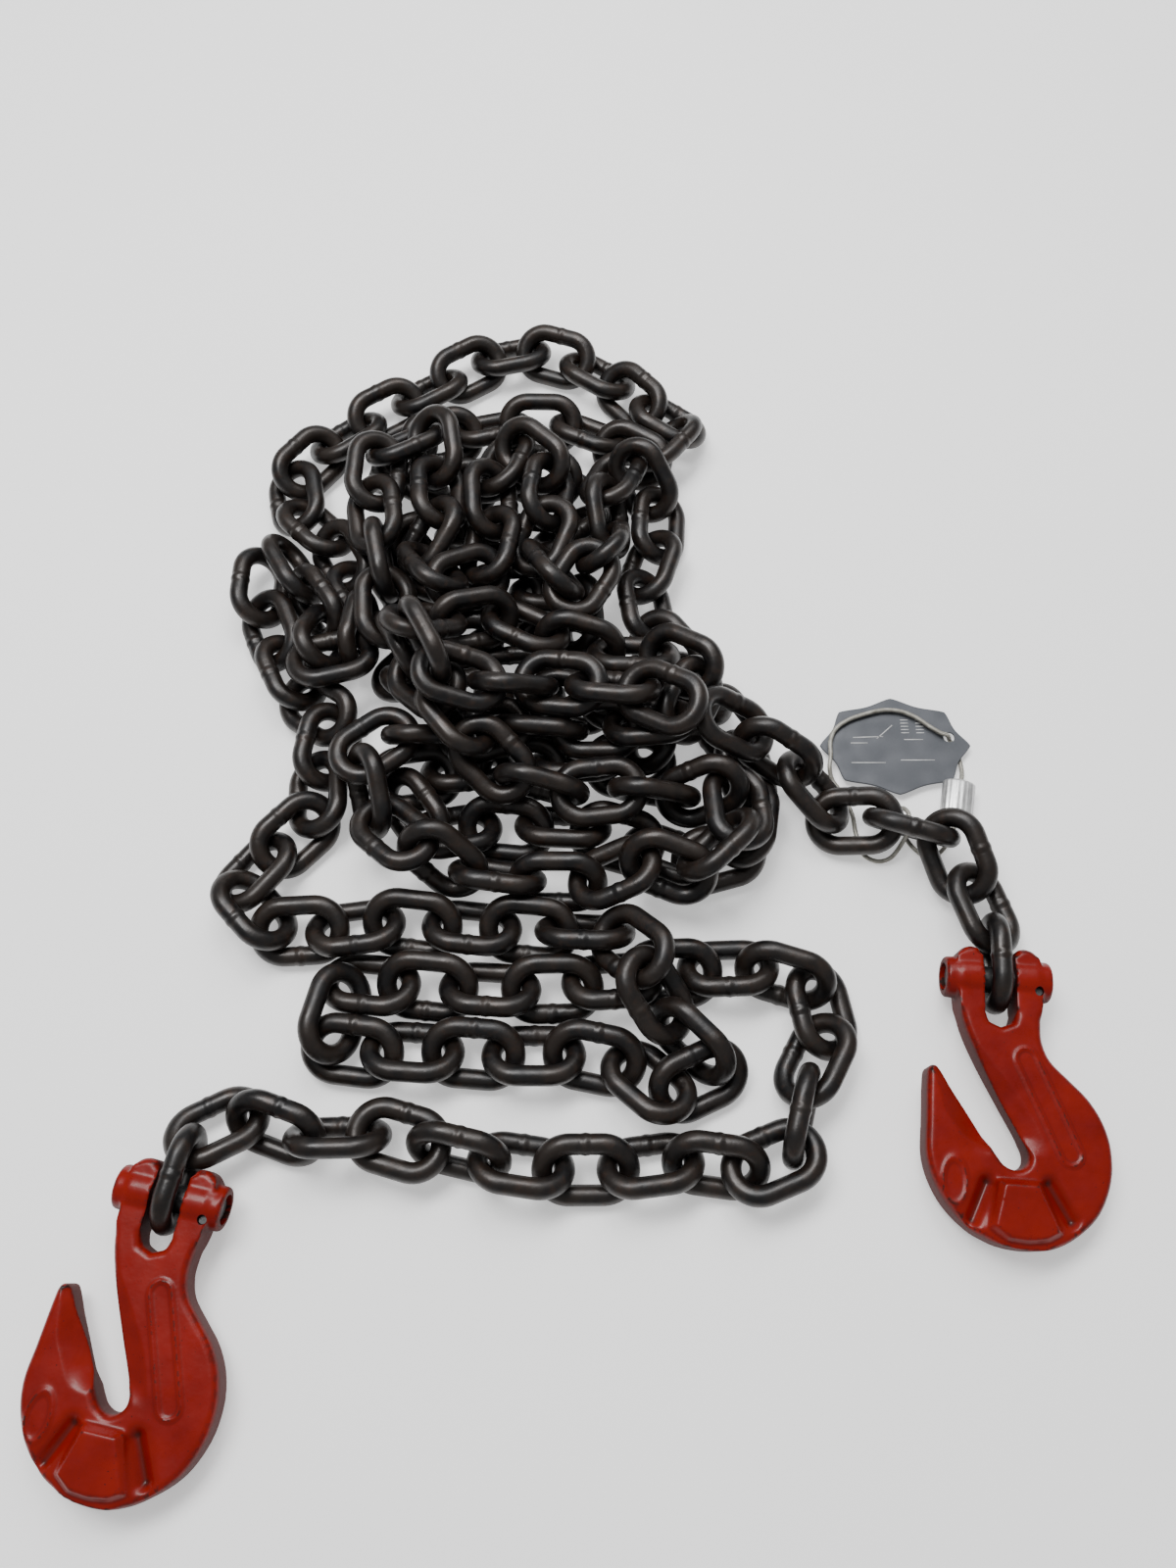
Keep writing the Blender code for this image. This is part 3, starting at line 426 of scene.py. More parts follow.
def mesh_object(name, verts, faces, mat):
    """A smooth-shaded mesh from points in millimetres on the floor plan."""
    mesh = bpy.data.meshes.new(name)
    mesh.from_pydata(((np.asarray(verts) - ORIGIN) * MM).tolist(), [], [list(f) for f in faces])
    mesh.validate()
    mesh.shade_smooth()
    mesh.materials.append(mat)
    obj = bpy.data.objects.new(name, mesh)
    bpy.context.scene.collection.objects.link(obj)
    return obj


def skin(rings, closed=False):
    """Faces over rings of equal length, capped at both ends unless closed."""
    n, count = len(rings[0]), len(rings)
    faces = []
    for i in range(count if closed else count - 1):
        j = (i + 1) % count
        for k in range(n):
            m = (k + 1) % n
            faces.append((i * n + k, i * n + m, j * n + m, j * n + k))
    if not closed:
        faces.append(tuple(range(n))[::-1])
        faces.append(tuple((count - 1) * n + k for k in range(n)))
    return np.vstack(rings), faces


def placed(verts, centre, axes):
    """Points given in a piece's own frame, moved to the floor plan."""
    return np.asarray(verts) @ np.asarray(axes).T + centre


def cut_out(obj, name, verts, faces):
    """Cut a closed shape, given on the floor plan, out of a piece."""
    cutter = mesh_object(name, verts, faces, obj.data.materials[0])
    step = obj.modifiers.new(name, "BOOLEAN")
    step.operation, step.solver, step.object = "DIFFERENCE", "EXACT", cutter
    graph = bpy.context.evaluated_depsgraph_get()
    obj.data = bpy.data.meshes.new_from_object(obj.evaluated_get(graph))
    obj.modifiers.clear()
    bpy.data.objects.remove(cutter)


def fit_to(obj, body, slot, *nodes):
    """Give a piece its body and hide the CAD nodes it stands for; its finish, slot, is not used."""
    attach(obj, body)
    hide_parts(*nodes)
    return obj


def link_centreline(s):
    """Point and outward direction at distance s round the stadium that the bar follows."""
    straight, arc = CROWN_X - HALF_WIDTH, math.pi * HALF_WIDTH
    s = s % (4 * straight + 2 * arc)
    if s < 2 * straight:
        return (straight - s, HALF_WIDTH), (0, 1)
    if s < 2 * straight + arc:
        t = math.pi / 2 + (s - 2 * straight) / HALF_WIDTH
        out = (math.cos(t), math.sin(t))
        return (-straight + HALF_WIDTH * out[0], HALF_WIDTH * out[1]), out
    if s < 4 * straight + arc:
        return (-straight + s - 2 * straight - arc, -HALF_WIDTH), (0, -1)
    t = -math.pi / 2 + (s - 4 * straight - arc) / HALF_WIDTH
    out = (math.cos(t), math.sin(t))
    return (straight + HALF_WIDTH * out[0], HALF_WIDTH * out[1]), out


def fine_link():
    """A round bar bent to a link, with its butt weld's ring half-way along one straight side."""
    straight = CROWN_X - HALF_WIDTH
    length = 4 * straight + 2 * math.pi * HALF_WIDTH
    near_weld = np.linspace(straight - WELD_SPAN, straight + WELD_SPAN, WELD_STATIONS)
    rest = np.linspace(
        straight + PLAIN_FROM, length + straight - PLAIN_FROM, LINK_STATIONS - WELD_STATIONS
    )
    rings = []
    for s in np.concatenate([near_weld, rest]):
        (x, y), (ox, oy) = link_centreline(s)
        away = (s - straight) / WELD_WIDTH
        radius = BAR / 2 - EASE + WELD_RISE * math.exp(-away * away)
        radius -= GROOVE_DEPTH * math.exp(-((abs(away) - GROOVE_AT) ** 2) * GROOVE_TIGHTNESS)
        ring = []
        for k in range(LINK_SIDES):
            t = -2 * math.pi * k / LINK_SIDES
            u = radius * math.cos(t)
            ring.append((x + ox * u, y + oy * u, radius * math.sin(t)))
        rings.append(ring)
    return skin([np.array(r) for r in rings], closed=True)


# ---- materials: colours are linear
OIL_BLACK = (0.0045, 0.004, 0.0045)
OIL_BROWN = (0.019, 0.013, 0.010)
RUST = (0.034, 0.017, 0.010)
RED_DEEP = (0.150, 0.0045, 0.0026)
RED_BRIGHT = (0.225, 0.0085, 0.0045)
SPECK = (0.018, 0.006, 0.005)
CHIPPED = (0.022, 0.010, 0.008)
# painted shade, with some grime, for the folds
CREASE_SHADE_AND_GRIME = (0.030, 0.006, 0.005)
# painted shade for the walls that stand upright or face down
PAINTED_WALL_SHADE = (0.035, 0.003, 0.002)
DULL = (0.85, 0.85, 0.85)                # the roughness of the walls that are painted in shade
ZINC_DARK = (0.055, 0.060, 0.069)
ZINC_LIGHT = (0.095, 0.100, 0.112)
WIRE_DARK = (0.22, 0.21, 0.18)
WIRE_LIGHT = (0.42, 0.41, 0.37)


class Nodes:
    """A Principled material with helpers for what feeds it."""

    def __init__(self, name, metallic, **sockets):
        self.mat = bpy.data.materials.new(name)
        self.mat.use_nodes = True
        self.tree = self.mat.node_tree
        self.shader = self.tree.nodes["Principled BSDF"]
        self.shader.inputs["Metallic"].default_value = metallic
        for key, value in sockets.items():
            self.shader.inputs[key.replace("_", " ")].default_value = value
        coordinates = self.tree.nodes.new("ShaderNodeTexCoord")
        self.where, self.facing = coordinates.outputs["Object"], coordinates.outputs["Normal"]

    def link(self, a, b):
        self.tree.links.new(a, b)

    def noise(self, scale, detail=4.0, rough=0.55):
        node = self.tree.nodes.new("ShaderNodeTexNoise")
        node.inputs["Scale"].default_value = scale
        node.inputs["Detail"].default_value = detail
        node.inputs["Roughness"].default_value = rough
        self.link(self.where, node.inputs["Vector"])
        return node.outputs["Fac"]

    def ramp(self, value, *stops):
        node = self.tree.nodes.new("ShaderNodeValToRGB")
        marks = node.color_ramp.elements
        while len(marks) < len(stops):
            marks.new(0.5)
        for mark, (at, colour) in zip(marks, stops):
            mark.position = at
            mark.color = (*colour, 1) if isinstance(colour, tuple) else (colour, colour, colour, 1)
        self.link(value, node.inputs["Fac"])
        return node.outputs["Color"]

    def mix(self, share, a, b):
        node = self.tree.nodes.new("ShaderNodeMix")
        node.data_type = "RGBA"
        self.link(share, node.inputs["Factor"])
        for value, socket in ((a, node.inputs["A"]), (b, node.inputs["B"])):
            if isinstance(value, tuple):
                socket.default_value = (*value, 1)
            else:
                self.link(value, socket)
        return node.outputs["Result"]

    def edges(self, low, high):
        """White where the surface is a sharp outer edge."""
        geometry = self.tree.nodes.new("ShaderNodeNewGeometry")
        return self.ramp(geometry.outputs["Pointiness"], (low, 0.0), (high, 1.0))

    def creases(self, low, high):
        """White where the surface folds inwards."""
        geometry = self.tree.nodes.new("ShaderNodeNewGeometry")
        return self.ramp(geometry.outputs["Pointiness"], (low, 0.85), (high, 0.0))

    def walls(self):
        """White where the surface, as it lies at rest, stands upright or faces down."""
        parts = self.tree.nodes.new("ShaderNodeSeparateXYZ")
        self.link(self.facing, parts.inputs[0])
        return self.ramp(parts.outputs["Z"], (0.05, 0.8), (0.55, 0.0))

    def both(self, a, b):
        node = self.tree.nodes.new("ShaderNodeMath")
        node.operation = "MULTIPLY"
        self.link(a, node.inputs[0])
        self.link(b, node.inputs[1])
        return node.outputs[0]

    def bump(self, height, strength, depth):
        node = self.tree.nodes.new("ShaderNodeBump")
        node.inputs["Strength"].default_value = strength
        node.inputs["Distance"].default_value = depth
        self.link(height, node.inputs["Height"])
        self.link(node.outputs["Normal"], self.shader.inputs["Normal"])

    def feed(self, name, value):
        self.link(value, self.shader.inputs[name])


def oiled_steel():
    """Black oiled bar, browned in patches."""
    m = Nodes("oiled_steel", 0.35, Coat_Weight=0.16, Coat_Roughness=0.28)
    tint = m.ramp(m.noise(70), (0.36, OIL_BLACK), (0.62, OIL_BROWN))
    rust = m.ramp(m.noise(190, 6), (0.54, 0.0), (0.72, 0.6))
    m.feed("Base Color", m.mix(rust, tint, RUST))
    m.feed("Roughness", m.ramp(m.noise(130, 5), (0.34, 0.30), (0.66, 0.50)))
    m.bump(m.noise(330, 6, 0.6), 0.32, 0.0005)
    return m.mat


def red_paint():
    """Gloss red over a forging: specks, chipped edges, painted shade with some grime in its folds,
    and painted shade on its walls.
    """
    m = Nodes("red_gloss_paint", 0.0, Coat_Weight=0.08, Coat_Roughness=0.16)
    m.shader.inputs["Specular IOR Level"].default_value = 0.18
    tint = m.ramp(m.noise(45), (0.3, RED_DEEP), (0.7, RED_BRIGHT))
    specks = m.ramp(m.noise(900, 3), (0.70, 0.0), (0.73, 1.0))
    speckled = m.mix(specks, tint, SPECK)
    chips = m.both(m.edges(0.515, 0.545), m.ramp(m.noise(380, 5), (0.50, 0.0), (0.56, 1.0)))
    chipped = m.mix(chips, speckled, CHIPPED)
    # painted shade with some grime darkens the folds, found from the surface's pointiness
    shaded_and_grimy = m.mix(m.creases(0.455, 0.492), chipped, CREASE_SHADE_AND_GRIME)
    # painted shade darkens the walls that stand upright or face down
    m.feed("Base Color", m.mix(m.walls(), shaded_and_grimy, PAINTED_WALL_SHADE))
    gloss = m.ramp(m.noise(120), (0.3, 0.24), (0.7, 0.38))
    m.feed("Roughness", m.mix(m.walls(), gloss, DULL))
    m.bump(m.noise(330, 3), 0.2, 0.0005)
    return m.mat


def metal(name, dark, light, rough, scale, metallic=0.9):
    """Bare metal, mottled between two tones."""
    m = Nodes(name, metallic)
    m.feed("Base Color", m.ramp(m.noise(scale), (0.3, dark), (0.7, light)))
    m.feed("Roughness", m.ramp(m.noise(scale * 2, 5), (0.3, rough - 0.08), (0.7, rough + 0.1)))
    m.bump(m.noise(scale * 6, 4), 0.2, 0.0002)
    return m.mat


# ---- chain
def make_links(centres, axes, groups, mat):
    """One piece for each single link, and one for each group of the pile."""
    verts, faces = fine_link()
    last = len(centres) - 1
    singles = {0: "clevis_link_left", last: "clevis_link_right"}
    singles.update({i: f"link_left_{i:02d}" for i in range(1, 1 + FREE_LEFT)})
    singles.update({last - i: f"link_right_{i:02d}" for i in range(1, 1 + FREE_RIGHT)})
    for i, node in singles.items():
        obj = mesh_object("fine_" + node, placed(verts, centres[i], axes[i]), faces, mat)
        body = node if node in frame["bodies"] else "root"
        fit_to(obj, body, "oiled_chain", node)
    for number, members in enumerate(groups, 1):
        points = np.vstack([placed(verts, centres[i], axes[i]) for i in members])
        step = len(verts)
        many = [tuple(v + k * step for v in f) for k in range(len(members)) for f in faces]
        node = f"pile_{number:02d}"
        fit_to(mesh_object("fine_" + node, points, many, mat), "root", "oiled_chain", node)


# ---- hooks, in their own frame: x along the load pin, y towards the clevis, w through the thickness
HOOK_HALF_THICK = 8.5
BOSS_PROFILE = [(7.5, 10.6), (17.5, 10.6), (20.0, 9.9), (24.0, 9.7), (24.8, 8.8)]
BOSS_SIDES = 64
BORE_RADIUS = 6.6
LOAD_PIN_RADIUS = 6.2
LOAD_PIN_HALF = 23.0
PIN_GROOVE = (15.9, 20.1)                # where the retaining pin crosses the load pin
PIN_GROOVE_RADIUS = 3.9
RETAINER_AT = (18.0, -6.0)
RETAINER_RADIUS = 1.75
RETAINER_ENDS = (-8, 7)
RETAINER_HOLE_RADIUS = 2.1
RETAINER_SIDES = 24
CUT_HALF = 40                            # a bore's cutter reaches this far each way
HOLE_HALF = 30
HOOK_OUTLINE = [
    (7.5, 10), (9.5, 13.6), (14, 14.2), (18.3, 11.6), (20, 5), (19.8, -10), (18.4, -22), (18.7, -30),
    (22, -38), (30, -46), (38, -54), (44, -64), (47, -76), (46, -90), (40, -104), (30, -114),
    (19, -120), (7, -121.5), (-6, -119.5), (-18, -114), (-28, -104), (-34, -93), (-36.5, -82),
    (-36, -70), (-35.5, -58), (-35, -48), (-34, -44), (-31.5, -43), (-29, -45), (-24, -53),
    (-16, -64), (-9, -75), (-4.5, -82), (-1, -86), (4, -87.5), (8.5, -85), (9.5, -80),
    (6, -72), (-1, -59), (-8, -45), (-14, -32), (-17.5, -22), (-19, -12), (-20, 5), (-18.3, 11.6),
    (-14, 14.2), (-9.5, 13.6), (-7.5, 10), (-7.5, -16), (-5.3, -21.3), (0, -23.5), (5.3, -21.3),
    (7.5, -16),
]
SLOT_POINTS = 6           # the last ones, which bound the straight-sided slot with the first
POINT_WALL = HOOK_OUTLINE[28:33]
SHANK_WALL = [*HOOK_OUTLINE[36:41], (-16, -25)]
POINT_SLOPE, POINT_FACE = 0.72, 9.5       # fall and width of the face that slopes to the throat
SHANK_SLOPE, SHANK_FACE = 0.42, 8.5
POINT_FACE_LEAST = 0.4                    # share of its width that the point's face keeps at the tip
POINT_FACE_FROM, POINT_FACE_RUN = -46, 22   # y where it starts to widen, and over how far
SHANK_FACE_FROM, SHANK_FACE_RUN = -16, 46   # the same for the shank's face, which starts at nothing
SEAT_TOP, SEAT_FADE = -83, 11             # the sloping faces run out over this stretch of y
HOLLOWS = [[(-10, -94), (-17, -110)], [(18, -93), (26.5, -108)]]
HOLLOW_DEPTH, HOLLOW_WIDTH = 3.6, 3.2
EDGE_RADIUS = 3.4
BODY_TOP, BODY_FADE = -14, 6              # edges are rounded below this, and on the ears' humps
HUMP_FOOT, HUMP_FADE = 9.5, 2.5
# the cradle: a raised wedge below the throat, from its foot on the slab to its flat face
WING_FOOT = [(-7, -91), (15, -91), (24, -114), (17, -118), (7, -119.5), (-4, -118.5), (-12, -113)]
WING_FACE = [
    (-3, -94.5), (11, -94.5), (19.5, -113), (14, -116), (7, -117), (-1, -116.5), (-7.5, -112),
]
WING_SINK = 1                             # how far its foot is let into the slab
WING_REACH = (17, 16)                     # half-axes of the oval that keeps its edges sharp
WING_REACH_FROM, WING_REACH_FADE = 0.85, 0.25
MOST_DROP = 0.8                           # the most of the half-thickness that may be taken away
SLAB_MARGIN = 1.5                         # hollows are pressed into points no higher than this
RIM_MARGIN = 1.6                          # rims are raised from points no deeper than this
PANEL_ENDS = [(10, -38), (28, -79.5)]     # the long raised outline on the shank
PANEL_RADIUS = 4.8
BADGE_CENTRE, BADGE_HALF = (-24.5, -94), (5.2, 9.8)
RIM_HEIGHT = 0.75
RIM_WIDTH = 0.9
VOXEL = 0.75
SMOOTH_PASSES = 5
OUTLINE_STEPS = 5                         # points on each stretch of the rounded outline


def rest_depth(y):
    """Half-thickness at y that just reaches the floor under the pitched hook."""
    return (PIN_HEIGHT + y * math.sin(HOOK_PITCH)) / math.cos(HOOK_PITCH)


def fine_outline():
    """The outline with its curves rounded out, and its slot left straight-sided."""
    flat = [(x, y, 0) for x, y in HOOK_OUTLINE]
    slot = len(flat) - SLOT_POINTS + 1
    body = smooth_curve(flat[:slot], OUTLINE_STEPS)[:, :2]
    return np.vstack([body, np.array(HOOK_OUTLINE[slot:], float)])


def distance_to(points, line, closed=False):
    """Distance from flat points to a polyline."""
    line = np.asarray(line, float)
    ends = np.roll(line, -1, axis=0) if closed else line[1:]
    best = np.full(len(points), 1e9)
    for a, b in zip(line, ends):
        d = b - a
        t = np.clip(((points - a) @ d) / max(d @ d, 1e-9), 0, 1)
        best = np.minimum(best, np.linalg.norm(points - a - t[:, None] * d, axis=1))
    return best


def soft_step(x):
    """0 below 0 and 1 above 1, with a smooth rise between."""
    x = np.clip(x, 0, 1)
    return x * x * (3 - 2 * x)


def voxel_joined(shapes):
    """One skin over overlapping closed shapes."""
    verts, faces, start = [], [], 0
    for v, f in shapes:
        verts.append(v)
        faces += [[k + start for k in face] for face in f]
        start += len(v)
    mesh = bpy.data.meshes.new("raw")
    mesh.from_pydata(np.vstack(verts).tolist(), [], faces)
    cleaner = bmesh.new()
    cleaner.from_mesh(mesh)
    bmesh.ops.triangulate(cleaner, faces=cleaner.faces)
    bmesh.ops.recalc_face_normals(cleaner, faces=cleaner.faces)
    cleaner.to_mesh(mesh)
    cleaner.free()
    obj = bpy.data.objects.new("raw", mesh)
    bpy.context.scene.collection.objects.link(obj)
    remesh = obj.modifiers.new("Remesh", "REMESH")
    remesh.mode, remesh.voxel_size = "VOXEL", VOXEL
    smooth = obj.modifiers.new("Smooth", "SMOOTH")
    smooth.factor, smooth.iterations = 0.5, SMOOTH_PASSES
    graph = bpy.context.evaluated_depsgraph_get()
    made = bpy.data.meshes.new_from_object(obj.evaluated_get(graph))
    bpy.data.objects.remove(obj)
    points = np.zeros(len(made.vertices) * 3)
    made.vertices.foreach_get("co", points)
    return points.reshape(-1, 3), [tuple(p.vertices) for p in made.polygons]


def forged(points, outline):
    """Round the forging's edges, slope its throat and raise its outlines, by moving points in w."""
    flat, w = points[:, :2], points[:, 2]
    edge = np.clip(distance_to(flat, outline, True), 0, EDGE_RADIUS)
    fall = EDGE_RADIUS - np.sqrt(EDGE_RADIUS**2 - (EDGE_RADIUS - edge) ** 2)
    y = flat[:, 1]
    widening = soft_step((POINT_FACE_FROM - y) / POINT_FACE_RUN)
    point_face = POINT_FACE * (POINT_FACE_LEAST + (1 - POINT_FACE_LEAST) * widening)
    shank_face = SHANK_FACE * soft_step((SHANK_FACE_FROM - y) / SHANK_FACE_RUN)
    inner = POINT_SLOPE * np.clip(point_face - distance_to(flat, POINT_WALL), 0, None)
    shank = SHANK_SLOPE * np.clip(shank_face - distance_to(flat, SHANK_WALL), 0, None)
    hollow = sum(
        HOLLOW_DEPTH * np.exp(-((distance_to(flat, line) / HOLLOW_WIDTH) ** 2)) for line in HOLLOWS
    )
    above_seat = soft_step((y - SEAT_TOP) / SEAT_FADE)
    body = np.maximum(soft_step((BODY_TOP - y) / BODY_FADE), soft_step((y - HUMP_FOOT) / HUMP_FADE))
    from_wing = np.linalg.norm((flat - np.array(WING_FOOT, float).mean(axis=0)) / WING_REACH, axis=1)
    off_wing = soft_step((from_wing - WING_REACH_FROM) / WING_REACH_FADE)
    drop = np.maximum.reduce([fall, inner * above_seat, shank * above_seat]) * body * off_wing
    drop += hollow * (np.abs(w) < HOOK_HALF_THICK + SLAB_MARGIN)
    out = points.copy()
    out[:, 2] = w * (1 - np.minimum(drop / HOOK_HALF_THICK, MOST_DROP))
    badge = (flat - BADGE_CENTRE) / BADGE_HALF
    for off in (
        distance_to(flat, PANEL_ENDS) - PANEL_RADIUS,
        (np.linalg.norm(badge, axis=1) - 1) * BADGE_HALF[0],
    ):
        rim = RIM_HEIGHT * np.exp(-((off / RIM_WIDTH) ** 2))
        out[:, 2] += np.sign(w) * rim * (np.abs(w) > HOOK_HALF_THICK - RIM_MARGIN)
    return out


def hook_shapes(outline):
    """The slab, a boss round each end of the pin, and a cradle wedge on each face."""
    slab = [
        np.column_stack([outline, np.full(len(outline), w)])
        for w in (-HOOK_HALF_THICK, HOOK_HALF_THICK)
    ]
    shapes = [skin(slab)]
    for side in (-1, 1):
        shapes.append(turned_pin(sorted((side * x, r) for x, r in BOSS_PROFILE), BOSS_SIDES))
        foot = [(x, y, side * (HOOK_HALF_THICK - WING_SINK)) for x, y in WING_FOOT]
        face = [(x, y, side * rest_depth(y)) for x, y in WING_FACE]
        shapes.append(skin([np.array(foot, float), np.array(face, float)]))
    return shapes


def retainer(radius, low, high):
    """A round bar through the ear, across the load pin."""
    turn = 2 * math.pi * np.arange(RETAINER_SIDES) / RETAINER_SIDES
    x, y = RETAINER_AT[0] + radius * np.cos(turn), RETAINER_AT[1] + radius * np.sin(turn)
    return skin([np.stack([x, y, np.full(RETAINER_SIDES, w)], axis=1) for w in (low, high)])


def turned_pin(profile, sides=48):
    """A round bar along x, from (x, radius) pairs."""
    turn = 2 * math.pi * np.arange(sides) / sides
    return skin([
        np.stack([np.full(sides, x), r * np.cos(turn), r * np.sin(turn)], axis=1) for x, r in profile
    ])


def load_pin_profile():
    """(x, radius) along the load pin: rounded ends, and the groove for the retaining pin."""
    h, r = LOAD_PIN_HALF, LOAD_PIN_RADIUS
    end = [(h - 1.2, r), (h - 0.5, r - 0.7), (h, r - 1.6)]
    start, stop = PIN_GROOVE
    groove = [(start, r), (start, PIN_GROOVE_RADIUS), (stop, PIN_GROOVE_RADIUS), (stop, r)]
    return [(-x, radius) for x, radius in end[::-1]] + groove + end


def make_hook(side, pose, hook_mesh, paint):
    """One forging, with the bore and the retaining pin's hole cut through it."""
    turn, pin = hook_matrix(pose)
    verts, faces = hook_mesh
    hook = mesh_object(f"forged_hook_{side}", placed(verts, pin, turn), faces, paint)
    for name, (cut, cut_faces) in (
        ("bore", turned_pin([(-CUT_HALF, BORE_RADIUS), (CUT_HALF, BORE_RADIUS)], BOSS_SIDES)),
        ("retainer_hole", retainer(RETAINER_HOLE_RADIUS, -HOLE_HALF, HOLE_HALF)),
    ):
        cut_out(hook, f"{name}_{side}", placed(cut, pin, turn), cut_faces)
    hook.data.shade_smooth()
    hook.data.set_sharp_from_angle(angle=math.radians(42))
    fit_to(hook, f"hook_{side}", "red_paint", f"hook_{side}")


def make_pins(side, pose, steel):
    """The load pin and the small pin that keeps it in."""
    turn, pin = hook_matrix(pose)
    for name, node, (verts, faces) in (
        (f"turned_load_pin_{side}", f"load_pin_{side}", turned_pin(load_pin_profile())),
        (
            f"round_retaining_pin_{side}", f"retaining_pin_{side}",
            retainer(RETAINER_RADIUS, *RETAINER_ENDS),
        ),
    ):
        bar = mesh_object(name, placed(verts, pin, turn), faces, steel)
        bar.data.set_sharp_from_angle(angle=math.radians(35))
        fit_to(bar, f"hook_{side}", "pin_steel", node)


# ---- tag, wire and ferrule
TAG_CENTRE = np.array((162.5, 52.6, 4.2))
TAG_LAYERS = ((0.35, -0.6), (0, -0.35), (0, 0.35), (0.35, 0.6))   # inset and height of each edge ring
TAG_HALF = (37.5, 26.5)
TAG_HOLE = (29.0, 5.0)
TAG_HOLE_RADIUS = 3.0
TAG_HOLE_SIDES = 40
TAG_CUT_HALF = 3          # how far the hole's cutter reaches each way
TAG_STEPS = 192
TAG_LOBES = 8
TAG_WAVE = 0.062          # how pointed the lobes are, the sides between them a little hollow
TAG_LOBE_POWER = 1.15
SCRIBE_HALF_WIDTH = 0.22
SCRIBE_LAYERS = (0.5, 0.68)
WIRE_RADIUS = 1.2
WIRE_LAY = 9.0            # length along the wire of one turn of its strands
WIRE_SIDES = 36
WIRE_STEPS = 12           # points on each stretch of the route
STRANDS = 6
STRAND_RISE = 0.24        # how much of the radius the strands stand out by
WIRE_ROUTE = [
    (188.8, 9.2, 6.5), (186.5, 2, 4.2), (182, -5, 2.2), (175, -10, 1.7), (168.5, -6, 1.7),
    (164, 0.5, 1.6), (163, 7, 1.7), (161, 13, 4.5), (161, 14, 11), (162.5, 9, 15.8), (162, 1, 16),
    (159, -5, 10), (154, -10.5, 4), (147, -11.5, 1.9), (140.5, -7, 1.7), (138, 4, 1.8), (137, 14, 2),
    (133, 25, 2.5), (128, 33, 3.5), (126.5, 39, 6), (127.5, 46, 6.8), (128, 54, 6.8), (131, 61, 6.8),
    (138, 66.5, 6.8), (147, 70, 6.8), (157, 72.5, 6.8), (166, 72, 6.8), (174, 68.5, 6.8),
    (181, 63, 6.8), (186.5, 59, 7), (189.6, 57.9, 7), (191.2, 57.1, 5.2), (191.9, 56.8, 3.2),
    (193.6, 55, 1.7), (195.5, 51, 1.6), (196.5, 44, 1.8), (196.5, 38, 2.6), (195, 33, 5),
    (192.8, 28.2, 6.5),
]
FERRULE_CENTRE = np.array((191.1, 20.1, 6.8))
FERRULE_TURN = math.radians(-11.5)
FERRULE_HALF = 10.5
FERRULE_RADIUS = 4.6      # half the height of its oval section, inside the ridges
FERRULE_SPREAD = 3.7      # how much wider than high the section is, each way
FERRULE_SIDES = 72
FERRULE_RIDGE = 0.28
FERRULE_RIDGES = 18
FERRULE_ENDS = ((-1, 0.82), (-0.95, 0.94), (-0.86, 1), (0.86, 1), (0.95, 0.94), (1, 0.82))
RULES = [                 # scribed lines on the tag: x, y, length, angle
    (-14, 5, 16, 2), (-19, 1.5, 9, 0), (-15, -10, 18, 0), (10, 3.5, 10, 0), (11, -8.5, 18, 0),
    (-5, 8, 12, 42), *[(x, 7.5 + 1.9 * k, 4.2, 0) for x in (6, 14) for k in range(5)],
]


def tag_ring(inset, w):
    """The tag's lobed oval edge, at a height above its middle."""
    t = 2 * math.pi * np.arange(TAG_STEPS) / TAG_STEPS
    wave = 1 + TAG_WAVE * (1 - 2 * np.abs(np.sin(TAG_LOBES / 2 * t)) ** TAG_LOBE_POWER)
    x, y = (half * wave - inset for half in TAG_HALF)
    return TAG_CENTRE + np.stack([x * np.cos(t), y * np.sin(t), np.full(TAG_STEPS, w)], axis=1)


def make_tag(zinc):
    """The stamped plate, with its hole."""
    tag = mesh_object("stamped_tag", *skin([tag_ring(inset, w) for inset, w in TAG_LAYERS]), zinc)
    turn = 2 * math.pi * np.arange(TAG_HOLE_SIDES) / TAG_HOLE_SIDES
    x, y = TAG_HOLE[0] + TAG_HOLE_RADIUS * np.cos(turn), TAG_HOLE[1] + TAG_HOLE_RADIUS * np.sin(turn)
    hole = [
        TAG_CENTRE + np.stack([x, y, np.full(TAG_HOLE_SIDES, w)], axis=1)
        for w in (-TAG_CUT_HALF, TAG_CUT_HALF)
    ]
    cut_out(tag, "tag_hole", *skin(hole))
    tag.data.set_sharp_from_angle(angle=math.radians(35))
    return fit_to(tag, "tag_plate", "zinc_tag", "tag_plate")


def make_scribed_lines(scribe):
    """Plain lines standing a little proud of the tag, where its stamped text would be."""
    verts, faces = [], []
    for x, y, length, angle in RULES:
        c, s = math.cos(math.radians(angle)), math.sin(math.radians(angle))
        half, wide = length / 2, SCRIBE_HALF_WIDTH
        for w in SCRIBE_LAYERS:
            for u, v in ((-half, -wide), (half, -wide), (half, wide), (-half, wide)):
                verts.append(TAG_CENTRE + (x + c * u - s * v, y + s * u + c * v, w))
        n = len(verts) - 8
        sides = [(n + k, n + (k + 1) % 4, n + 4 + (k + 1) % 4, n + 4 + k) for k in range(4)]
        faces += [(n + 3, n + 2, n + 1, n), (n + 4, n + 5, n + 6, n + 7), *sides]
    marks = mesh_object("tag_scribed_lines", verts, faces, scribe)
    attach(marks, "tag_plate")


